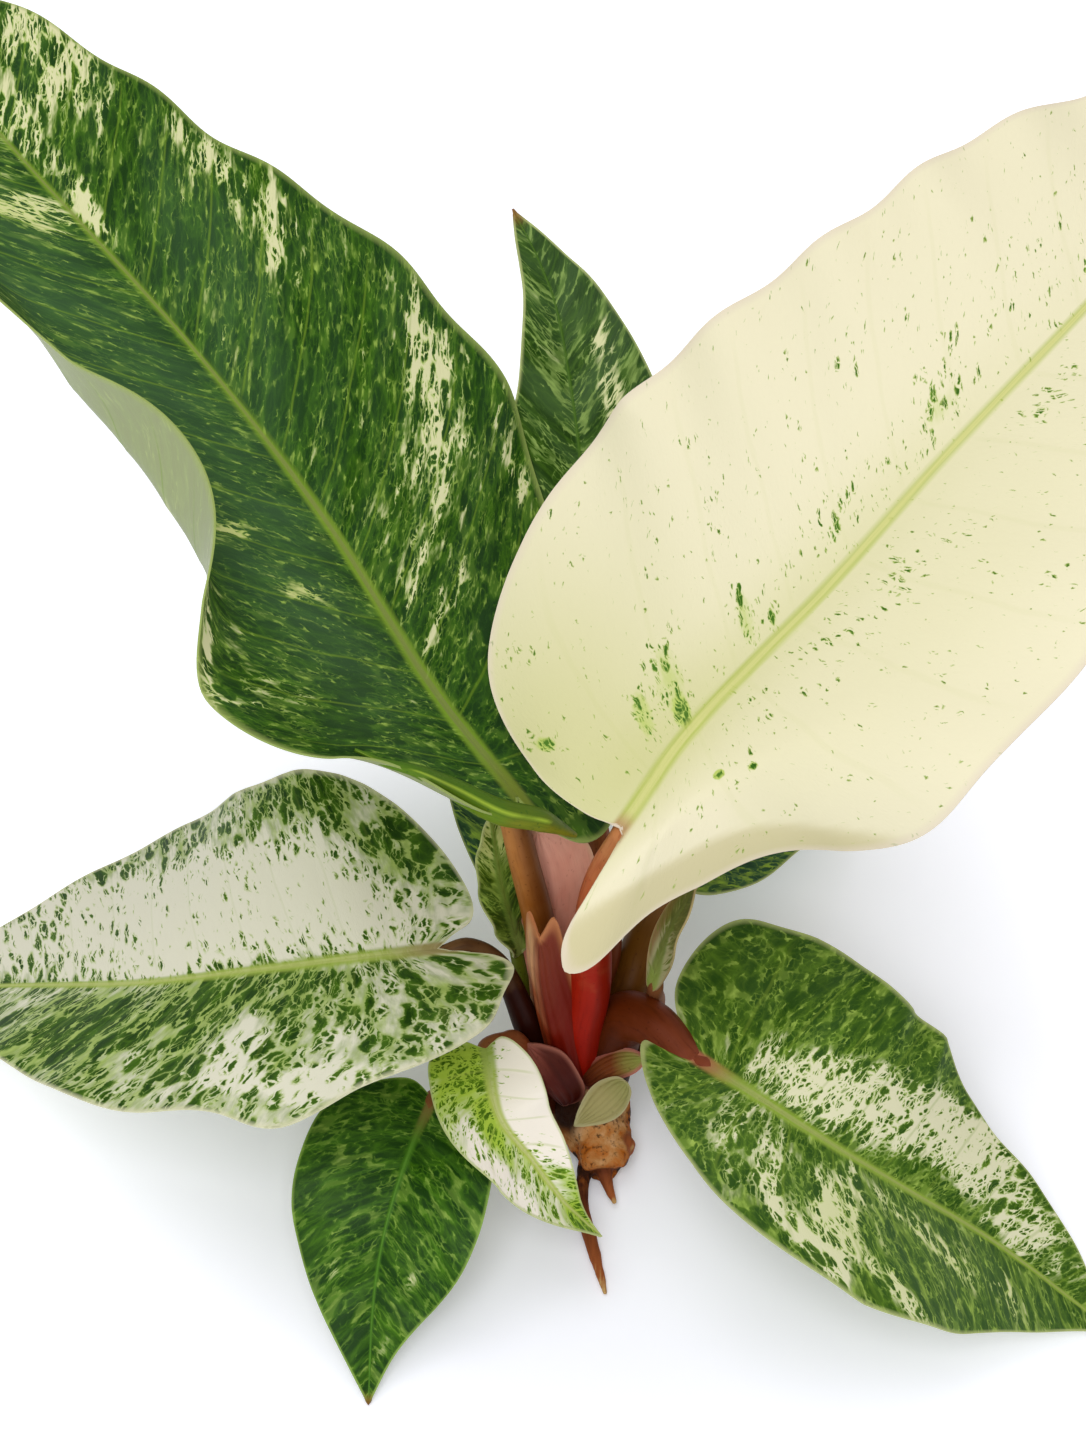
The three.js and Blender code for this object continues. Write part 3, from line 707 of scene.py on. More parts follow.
    def _vein_share(self, paint: Paint, spot: Socket) -> Socket:
        """Works out how strongly a side vein shows, from how far a spot lies from the nearest one."""
        wander = paint.add("TexNoise", spot, 0.06, 1.0)
        moved = paint.add(
            "Math MULTIPLY_ADD", wander, VEIN_WANDER * self.vein_mm, paint.add("SeparateXYZ", spot))
        away = paint.add("Math PINGPONG", moved, self.vein_mm / 2)
        line = paint.add(
            "MapRange SMOOTHSTEP", away, VEIN_SOLID * self.vein_width, VEIN_SOFT * self.vein_width, 1.0, 0.0)
        return paint.add("Math MULTIPLY", line, paint.add("Attribute vein_fade", out="Fac"))

    def _rib_ink(self, paint: Paint, spot: Socket) -> Socket:
        """Colours the rib: a muted middle between fresher edges, fine lines along it, a blush at its foot."""
        across = paint.add("Attribute rib_out", out="Fac")
        outer = paint.add("MapRange SMOOTHSTEP", paint.add("Math ABSOLUTE", across), 0.2, 0.6)
        place = paint.add("CombineXYZ", across, paint.add("SeparateXYZ", spot))
        drawn = paint.add("Mapping", place, None, None, RIB_LINES)
        lines = paint.add("TexNoise", drawn, 1.0, 3.0)
        striped = paint.add("MapRange", lines, 0.35, 0.65, -0.35, 0.35)
        share = paint.add("Math ADD", outer, striped, use_clamp=True)
        body = paint.add("Mix RGBA", share, self.rib, self.rib_edge)
        blush = paint.add("Attribute base_blush", out="Fac")
        return paint.add("Mix RGBA", blush, body, self.rib_base)


@dataclass(frozen=True)
class StemFinish:
    """A smooth stalk or an old papery sheath: from its base colour to its top colour, with streaks.

    The edge colour shows at a sheath's margin, and as the lime line on the rolled margin, which is partly a
    painted highlight. The dark side says how much a stalk darkens to its right; on the brown stalk this is
    painted shade, and on the rolled margin it is the roll's inner side darkened with painted shade.
    """

    name: str
    base: str
    middle: str
    top: str
    streak: str
    edge: str = "#b98a66"
    streak_show: float = 0.35
    dark_side: float = 0.0
    dark_from: float = -2.5
    dark_to: float = 2.5
    roughness: float = 0.42
    gloss: float = 0.1
    streak_mm: float = 0.9
    speck_mm: float = 0.7

    def build(self) -> bpy.types.Material:
        """Builds the material from the shares along, the streaks round and the specks on it."""
        paint = Paint(self.name)
        grain = paint.add("Attribute grain", out="Vector")
        fine = 1 / self.streak_mm
        streaks = paint.add(
            "TexNoise", paint.add("Mapping", grain, None, None, (fine, fine, 0.1 * fine)), 1.0, 4.0, 0.6)
        broad = paint.add("TexNoise", grain, 0.12, 3.0)
        wander = paint.add("Math MULTIPLY_ADD", broad, 0.6, -0.3)
        place = paint.add("Math ADD", paint.add("Attribute share", out="Fac"), wander, use_clamp=True)
        body = paint.add("ValToRGB", place, stops=((0.05, self.base), (0.5, self.middle), (0.95, self.top)))
        return paint.finish({
            "Base Color": self._marks(paint, grain, streaks, body),
            "Roughness": paint.add(
                "MapRange", streaks, 0.0, 1.0, self.roughness - 0.1, self.roughness + 0.15),
            "Normal": paint.add("Bump", BUMP, SKIN_RELIEF * MM, None, streaks),
            "Specular IOR Level": self.gloss,
        })

    def _marks(self, paint: Paint, grain: Socket, streaks: Socket, body: Socket) -> Socket:
        """Lays the streaks, the small pores, the darker side and the paler margin over the body colour."""
        lines = paint.add("MapRange SMOOTHSTEP", streaks, 0.48, 0.78, 0.0, self.streak_show)
        pores = paint.add("TexVoronoi", grain, 0.4 / self.speck_mm)
        pitted = paint.add("MapRange SMOOTHSTEP", pores, 0.1, 0.2, self.streak_show, 0.0)
        turned = paint.add(
            "MapRange SMOOTHSTEP", paint.add("SeparateXYZ", grain), self.dark_from, self.dark_to, 0.0,
            self.dark_side)
        colour = body
        for factor in (lines, pitted, turned):
            colour = paint.add("Mix RGBA", factor, colour, self.streak)
        return paint.add("Mix RGBA", paint.add("Attribute rim", out="Fac"), colour, self.edge)


@dataclass(frozen=True)
class RootFinish:
    """Corky rhizome skin, tan above and rust below with dark cracks, and smooth brown roots.

    The cracks and pits are noise in the object's own millimetres.
    """

    name: str = "corky rhizome skin"
    # Dark brown for the cracks, the dirt in the pits and the painted shade in the hollow
    crack_and_shade: str = "#2a1206"
    rust: str = "#aa5a14"
    tan: str = "#b47e4a"
    pale: str = "#cfa479"
    root: str = "#643018"
    root_low: str = "#98522a"
    tip: str = "#bd9a62"
    hollow: tuple = (-9.0, -3.0, 13.5)
    plate_mm: float = 5.0
    pit_mm: float = 1.6
    hollow_span: tuple = (4.0, 8.5)
    heights: tuple = (3.0, 17.0)
    striae: tuple = (1.6, 0.16, 0.8)
    pitting: float = 0.8
    pit_depth: float = 0.5
    roughness: float = 0.65
    gloss: float = 0.1

    def build(self) -> bpy.types.Material:
        """Builds the material."""
        paint = Paint(self.name)
        spot = paint.add("VectorMath SCALE", paint.add("TexCoord", out="Object"), 1 / MM)
        pits = paint.add("TexNoise", spot, 1 / self.pit_mm, 4.0, 0.7)
        along, rooted = (paint.add("Attribute " + name, out="Fac") for name in ("root_share", "rooted"))
        drawn = paint.add("Mapping", spot, None, None, self.striae)
        uneven = paint.add("Math MULTIPLY_ADD", paint.add("TexNoise", drawn, 1.0, 3.0), 0.5, along)
        roots = paint.add("ValToRGB", paint.add("Math SUBTRACT", uneven, 0.25), stops=(
            (0.06, self.crack_and_shade), (0.3, self.root), (0.85, self.root_low), (1.0, self.tip)))
        return paint.finish({
            "Base Color": paint.add("Mix RGBA", rooted, self._cork(paint, spot, pits), roots),
            "Roughness": self.roughness,
            "Specular IOR Level": self.gloss,
            "Normal": paint.add("Bump", self.pitting, self.pit_depth * MM, None, pits),
        })

    def _cork(self, paint: Paint, spot: Socket, pits: Socket) -> Socket:
        """Colours the rhizome: plates of cork, dirt in its pits, and shade in the hollow at its front."""
        plates = paint.add("TexNoise", spot, 1 / self.plate_mm, 4.0, 0.55, None, 0.4)
        height = paint.add("SeparateXYZ", spot, out="Z")
        upper = paint.add("MapRange", height, *self.heights, -0.22, 0.2)
        skin = paint.add("ValToRGB", paint.add("Math ADD", plates, upper), stops=(
            (0.3, self.crack_and_shade), (0.38, self.rust), (0.54, self.tan), (0.74, self.pale)))
        dirt = paint.add("MapRange SMOOTHSTEP", pits, 0.52, 0.66, 0.0, 0.8)
        # Painted shade: the skin darkens towards a point in the hollow at the front of the crown
        away = paint.add("VectorMath DISTANCE", spot, self.hollow)
        shade = paint.add("MapRange SMOOTHSTEP", away, *self.hollow_span, 1.0, 0.0)
        return paint.add("Mix RGBA", paint.add("Math MAXIMUM", dirt, shade), skin, self.crack_and_shade)


def weld(sheet: bpy.types.Object) -> None:
    """Merges the vertices of a sheet that all but touch, and drops the faces left with no area."""
    only(sheet)
    bpy.ops.object.mode_set(mode="EDIT")
    bpy.ops.mesh.select_all(action="SELECT")
    bpy.ops.mesh.remove_doubles(threshold=WELD_MM * MM)
    bpy.ops.mesh.dissolve_degenerate(threshold=WELD_MM * MM)
    bpy.ops.object.mode_set(mode="OBJECT")


def bend_grid(
    surface: BladeSurface, columns: int, rows: int, crowding: tuple = (1.0, 1.0)
) -> tuple[bpy.types.Object, dict[str, np.ndarray]]:
    """Bends a flat grid into a blade's middle surface.

    Args:
        surface: the blade's surface.
        columns: the faces across each half.
        rows: the faces along it.
        crowding: the powers that draw the rows to the base and the columns to the rib.

    Returns:
        The mesh, and what the surface gives for its vertices, with their row, share across and side.
    """
    bpy.ops.object.select_all(action="DESELECT")
    bpy.ops.mesh.primitive_grid_add(x_subdivisions=2 * columns, y_subdivisions=rows, size=2)
    sheet = fresh_object(surface.shape.name + "_skin")
    flat = read_places(sheet)
    row = ((flat[:, 1] + 1) / 2).clip(0, 1) ** crowding[0]
    across = np.abs(flat[:, 0]).clip(0, 1) ** crowding[1]
    right = flat[:, 0] >= 0
    halves = {side: surface.points(side, row, across) for side in Side}
    spots = {"row": row, "across": across, "side": np.where(right, 1, -1)}
    for key, values in halves[Side.RIGHT].items():
        chosen = right if values.ndim == 1 else right[:, None]
        spots[key] = np.where(chosen, values, halves[Side.LEFT][key])
    write_places(sheet, spots["place"] * MM)
    return sheet, spots


@dataclass(frozen=True)
class Leaf:
    """A blade with its rib and side veins, marbled cream on green."""

    shape: BladeShape
    finish: LeafFinish
    slot: str
    patches: tuple = ()
    casts: tuple = ()
    # Ovals of painted shade where a fold turns down
    fold_shades: tuple = ()
    rows: int = 120
    columns: int = 40
    rib_width: tuple = (2.4, 1.4, 0.6)
    vein_relief: float = 0.3
    lean: float = 0.6
    rim_width: float = 0.55
    blush_mm: float = 16.0
    tip_show: float = 0.0

    def build(self) -> bpy.types.Object:
        """Builds the blade and dresses it."""
        sheet = self._sheet()
        self._thicken(sheet)
        return finish_piece(sheet, self.finish.build(), (self.shape.name,), self.slot, SHEET_ANGLE)

    def _sheet(self) -> bpy.types.Object:
        """Bends the blade's middle surface, with its maps and numbers stored on it."""
        surface = BladeSurface(self.shape)
        sheet, spots = bend_grid(surface, self.columns, self.rows, (BASE_CROWDING, RIB_CROWDING))
        across, out, at = spots["across"], spots["out"], spots["along"]
        share = np.clip(spots["share"], 0, 1)
        width = value_along(self.rib_width, share)
        along = self._spacing(surface, spots["row"]) - self.lean * out
        off = out * spots["side"]
        store_uv(sheet, "veins", np.stack([along, off], axis=-1))
        fade = smooth(across * VEIN_RISE) * (1 - smooth((across - VEIN_END) / VEIN_FADE))
        fade = fade * smooth((along + VEIN_LEAD_MM) / VEIN_FOOT_MM)
        numbers = {
            "vein_fade": fade,
            "vein_dip": (np.sqrt(np.abs(np.sin(np.pi * along / self.finish.vein_mm))) - 1) * fade,
            "rib_out": off / width,
            "rib_line": 1 - smooth((out / width - RIB_SOLID) / LINE_SOFT),
            "rib_swell": np.maximum(0, 1 - (out / width) ** 2) * (1 - RIB_FADE * share),
            "rim_line": 1 - smooth((spots["inward"] / self.rim_width - RIM_SOLID) / LINE_SOFT),
            "tip": smooth((share - TIP_FROM) / (1 - TIP_FROM)) * self.tip_show,
            "foot": 1 - smooth(at.clip(0) / FOOT_MM),
            "base_blush": 1 - smooth(at.clip(0) / self.blush_mm),
        }
        for name, patches in (("pale", self.patches), ("cast", self.casts), ("dull", self.fold_shades)):
            numbers[name] = sum((patch.cover(at, off) for patch in patches), np.zeros(len(off)))
        numbers["pale"] += self.finish.pale
        for name, values in numbers.items():
            store(sheet, name, values)
        weld(sheet)
        return sheet

    def _spacing(self, surface: BladeSurface, row: np.ndarray) -> np.ndarray:
        """Gives how far each row lies from the base, in millimetres measured partway out on the blade."""
        steps = np.linspace(0, 1, self.rows + 1)
        lengths = np.zeros(self.rows)
        for side in Side:
            places = surface.points(side, steps, np.full(len(steps), SPACING_ACROSS))["place"]
            lengths += np.linalg.norm(np.diff(places, axis=0), axis=1) / len(Side)
        return np.interp(row, steps, np.concatenate([(0.0,), np.cumsum(lengths)]))

    def _thicken(self, sheet: bpy.types.Object) -> None:
        """Gives the sheet its thickness, sinks its veins, raises its rib, and rests it on the surface."""
        single = len(sheet.data.vertices)
        normals = read_normals(sheet)
        dip = self.vein_relief * MM * recall(sheet, "vein_dip")
        write_places(sheet, read_places(sheet) + normals * dip[:, None])
        apply_modifier(sheet, "SOLIDIFY", thickness=BLADE_THICKNESS * MM, offset=0.0)
        places = read_places(sheet)
        swell = recall(sheet, "rib_swell")
        places[:single] += normals * (RIB_RISE * MM * swell[:single])[:, None]
        keel = swell[single:] * (1 - recall(sheet, "foot")[single:])
        places[single:] -= normals * (self.shape.rib_depth * MM * keel)[:, None]
        lower = places[single:, 2].clip(0.0)
        places[single:, 2] = lower
        near = places[:single, 2] < RESTING_THICKNESS * MM
        places[:single, 2] = np.where(near, lower + RESTING_THICKNESS * MM, places[:single, 2])
        write_places(sheet, places)
        store(sheet, "under", np.arange(len(places)) >= single)


@dataclass(frozen=True)
class Sheath:
    """An old leaf sheath that wraps the crown: a thin papery blade with creases along it."""

    shape: BladeShape
    finish: StemFinish
    slot: str
    rows: int = 90
    columns: int = 24
    creases: int = 7
    crease_depth: float = 0.12
    rim_mm: float = 1.4

    def build(self) -> bpy.types.Object:
        """Builds the sheath and dresses it."""
        surface = BladeSurface(self.shape)
        sheet, spots = bend_grid(surface, self.columns, self.rows)
        row, across, side = spots["row"], spots["across"], spots["side"]
        store(sheet, "share", row)
        store(sheet, "rim", 1 - smooth(spots["inward"] / self.rim_mm))
        turns = np.pi * self.creases * across * side + 3 * row
        store(sheet, "crease", np.sin(turns) * (1 - across ** 4))
        lengths = [spots["out"] * side, np.zeros_like(row), row * surface.rib.length]
        store(sheet, "grain", np.stack(lengths, axis=-1))
        weld(sheet)
        dip = self.crease_depth * MM * recall(sheet, "crease")
        write_places(sheet, read_places(sheet) + read_normals(sheet) * dip[:, None])
        apply_modifier(sheet, "SOLIDIFY", thickness=SHEATH_THICKNESS * MM, offset=0.0)
        return finish_piece(sheet, self.finish.build(), (self.shape.name,), self.slot, SHEET_ANGLE)


def tube(name: str, points: tuple, radii: tuple, sides: int, rings: int) -> bpy.types.Object:
    """Bends a cylinder round a path, with its radius given at even steps.

    Args:
        name: the piece's name.
        points: the path's points in millimetres.
        radii: the radius at even steps of the length.
        sides: the faces round it.
        rings: the faces along it.

    Returns:
        The closed tube, with its share along and its place round stored on it.
    """
    bpy.ops.object.select_all(action="DESELECT")
    bpy.ops.mesh.primitive_cylinder_add(vertices=sides, radius=1, depth=2, end_fill_type="NGON")
    piece = fresh_object(name)
    bpy.ops.object.mode_set(mode="EDIT")
    bpy.ops.mesh.select_all(action="DESELECT")
    bpy.ops.object.mode_set(mode="OBJECT")
    ends = read_places(piece)
    for edge in piece.data.edges:
        first, second = edge.vertices
        edge.select = abs(ends[first, 2] - ends[second, 2]) > 1
    bpy.ops.object.mode_set(mode="EDIT")
    bpy.ops.mesh.select_mode(type="EDGE")
    bpy.ops.mesh.subdivide(number_cuts=rings - 1)
    bpy.ops.object.mode_set(mode="OBJECT")
    straight = read_places(piece)
    share = ((straight[:, 2] + 1) / 2).clip(0, 1)
    path = Path(points)
    levels = np.linspace(0, 1, rings + 1)
    centres = path.place(levels)
    ahead = path.direction(levels)
    across = np.zeros_like(ahead)
    start = np.array((1.0, 0.0, 0.0))
    for k, direction in enumerate(ahead):
        start = start - direction * (start @ direction)
        start /= np.linalg.norm(start)
        across[k] = start
    over = np.cross(ahead, across)
    ring = np.rint(share * rings).astype(int)
    around = straight[:, :2] * spread(radii, share)[:, None]
    places = centres[ring] + across[ring] * around[:, :1] + over[ring] * around[:, 1:]
    write_places(piece, places * MM)
    store(piece, "share", share)
    store(piece, "grain", np.column_stack([around, share * path.length]))
    return piece


@dataclass(frozen=True)
class Stalk:
    """A leaf stalk, from inside the rhizome up to the foot of its blade's rib.

    It sinks by so many of its last radii behind the rib, and its end is slim and rounded.
    """

    leaf: str
    radius: tuple
    points: tuple
    finish: StemFinish
    slot: str = "stalk_brown"
    knuckle_mm: float = 9.0
    knuckle_sink: float = 0.0
    sinks: tuple = (0.9, 0.55, 0.4)
    overlap: float = 1.5
    slimmest: float = 0.45
    end_mm: float = 1.2
    sides: int = 28
    rings: int = 72

    def build(self) -> bpy.types.Object:
        """Builds the stalk, which runs out in a knuckle on the foot of the rib, and dresses it."""
        surface = BladeSurface(BLADES["leaf_" + self.leaf])
        name = "stalk_" + self.leaf
        seats = np.array((-self.overlap, 0.4 * self.knuckle_mm, self.knuckle_mm)) / surface.rib.length
        place, _, normal = surface.frame_at(seats)
        sunk = np.array(self.sinks) * self.radius[-1] + self.knuckle_sink
        ends = place - normal * sunk[:, None]
        path = (*self.points, *(tuple(end) for end in ends))
        piece = tube(name + "_skin", path, self._radii(Path(path).length), self.sides, self.rings)
        return finish_piece(piece, self.finish.build(), (name,), self.slot, TUBE_ANGLE)

    def _radii(self, length: float) -> tuple:
        """Gives the radius at each ring: it slims over the knuckle and rounds off at its end."""
        share = np.linspace(0, 1, self.rings + 1)
        left = (1 - share) * length
        slim = self.slimmest + (1 - self.slimmest) * smooth(left / self.knuckle_mm)
        end = np.sqrt(1 - (1 - (left / self.end_mm).clip(0, 1)) ** 2)
        return tuple(spread(self.radius, share) * slim * np.maximum(end, END_SHARE))


@dataclass(frozen=True)
class RolledMargin:
    """A stretch of a blade's margin that is rolled up like a slim tube, with its bright edge on top: a lime
    line, the margin's own pale edge, laid where the skin faces one way, so it is also partly a painted
    highlight.
    """

    name: str
    points: tuple
    radius: tuple
    finish: StemFinish
    slot: str
    sides: int = 24
    rings: int = 60
    # The way that the partly painted highlight line faces, and how narrow and soft it is
    line_faces: tuple = (0.13, -0.65, 0.91)
    line_from: float = 0.99
    line_soft: float = 0.007

    def build(self) -> bpy.types.Object:
        """Builds the roll and dresses it."""
        piece = tube(self.name + "_skin", self.points, self.radius, self.sides, self.rings)
        ahead = Path(self.points).direction(recall(piece, "share"))
        faces = np.array(self.line_faces)
        towards = faces - ahead * (ahead @ faces)[:, None]
        towards /= np.linalg.norm(towards, axis=1, keepdims=True)
        facing = (read_normals(piece) * towards).sum(axis=1)
        # Partly painted highlight: the lime line lies where the skin faces this one way
        store(piece, "rim", smooth((facing - self.line_from) / self.line_soft))
        return finish_piece(piece, self.finish.build(), (), self.slot, TUBE_ANGLE)


@dataclass(frozen=True)
class Rhizome:
    """The thick creeping stem with its leaf scars, a side bud and the roots that grow from it."""

    node: str
    path: tuple
    radius: tuple
    roots: tuple
    finish: RootFinish
    slot: str
    scars: int = 3
    scar_height: float = 0.6
    lumps: int = 3
    lump_height: float = 0.7
    twist: float = 9.0
    knobs: tuple = ((5.0, 0.9), (1.6, 0.3))
    root_calm: float = 0.75
    root_reach: float = 1.2
    root_from: float = 0.3
    faces: tuple = (64, 96)
    root_faces: tuple = (24, 48)
    voxel: float = 0.35

    def build(self) -> bpy.types.Object:
        """Builds the rhizome and its roots as one skin, and dresses it."""
        body = tube(self.node + "_skin", self.path, self.radius, *self.faces)
        self._scar(body)
        roots = [
            tube(f"root_{k}", points, radii, *self.root_faces)
            for k, (points, radii) in enumerate(self.roots)]
        only(body)
        for root in roots:
            root.select_set(True)
        bpy.ops.object.join()
        apply_modifier(body, "REMESH", mode="VOXEL", voxel_size=self.voxel * MM)
        self._mark_roots(body)
        self._roughen(body)
        return finish_piece(body, self.finish.build(), (self.node,), self.slot, SHEET_ANGLE)

    def _scar(self, body: bpy.types.Object) -> None:
        """Raises a ring where each old leaf stood, and lumps round it."""
        share = recall(body, "share")
        normals = read_normals(body)
        lean = np.arctan2(normals[:, 2], normals[:, 0])
        rise = self.scar_height * np.maximum(0, np.sin(2 * np.pi * self.scars * share))
        rise += self.lump_height * np.sin(self.lumps * lean + self.twist * share)
        write_places(body, read_places(body) + normals * (rise * MM)[:, None])

    def _mark_roots(self, body: bpy.types.Object) -> None:
        """Stores where the skin is a root's, and how far along the root it lies."""
        places = read_places(body) / MM
        steps = np.linspace(0, 1, ROOT_STEPS)
        rooted = np.zeros(len(places))
        share = np.zeros(len(places))
        for points, radii in self.roots:
            line = Path(points).place(steps)
            gaps = np.linalg.norm(places[:, None, :] - line, axis=2) - spread(radii, steps)
            nearest = gaps.argmin(axis=1)
            near = 1 - smooth(gaps.min(axis=1) / self.root_reach)
            near *= smooth(steps[nearest] / self.root_from)
            share = np.where(near > rooted, steps[nearest], share)
            rooted = np.maximum(rooted, near)
        store(body, "rooted", rooted)
        store(body, "root_share", share)

    def _roughen(self, body: bpy.types.Object) -> None:
        """Breaks up the skin with small knobs, less on the roots, and sets it flat on the surface."""
        places = read_places(body)
        bumps = np.array([
            sum(height * noise.noise(Vector(place) / (size * MM)) for size, height in self.knobs)
            for place in places])
        bumps *= 1 - self.root_calm * recall(body, "rooted")
        places += read_normals(body) * (bumps * MM)[:, None]
        places[:, 2] = places[:, 2].clip(0.0)
        write_places(body, places)


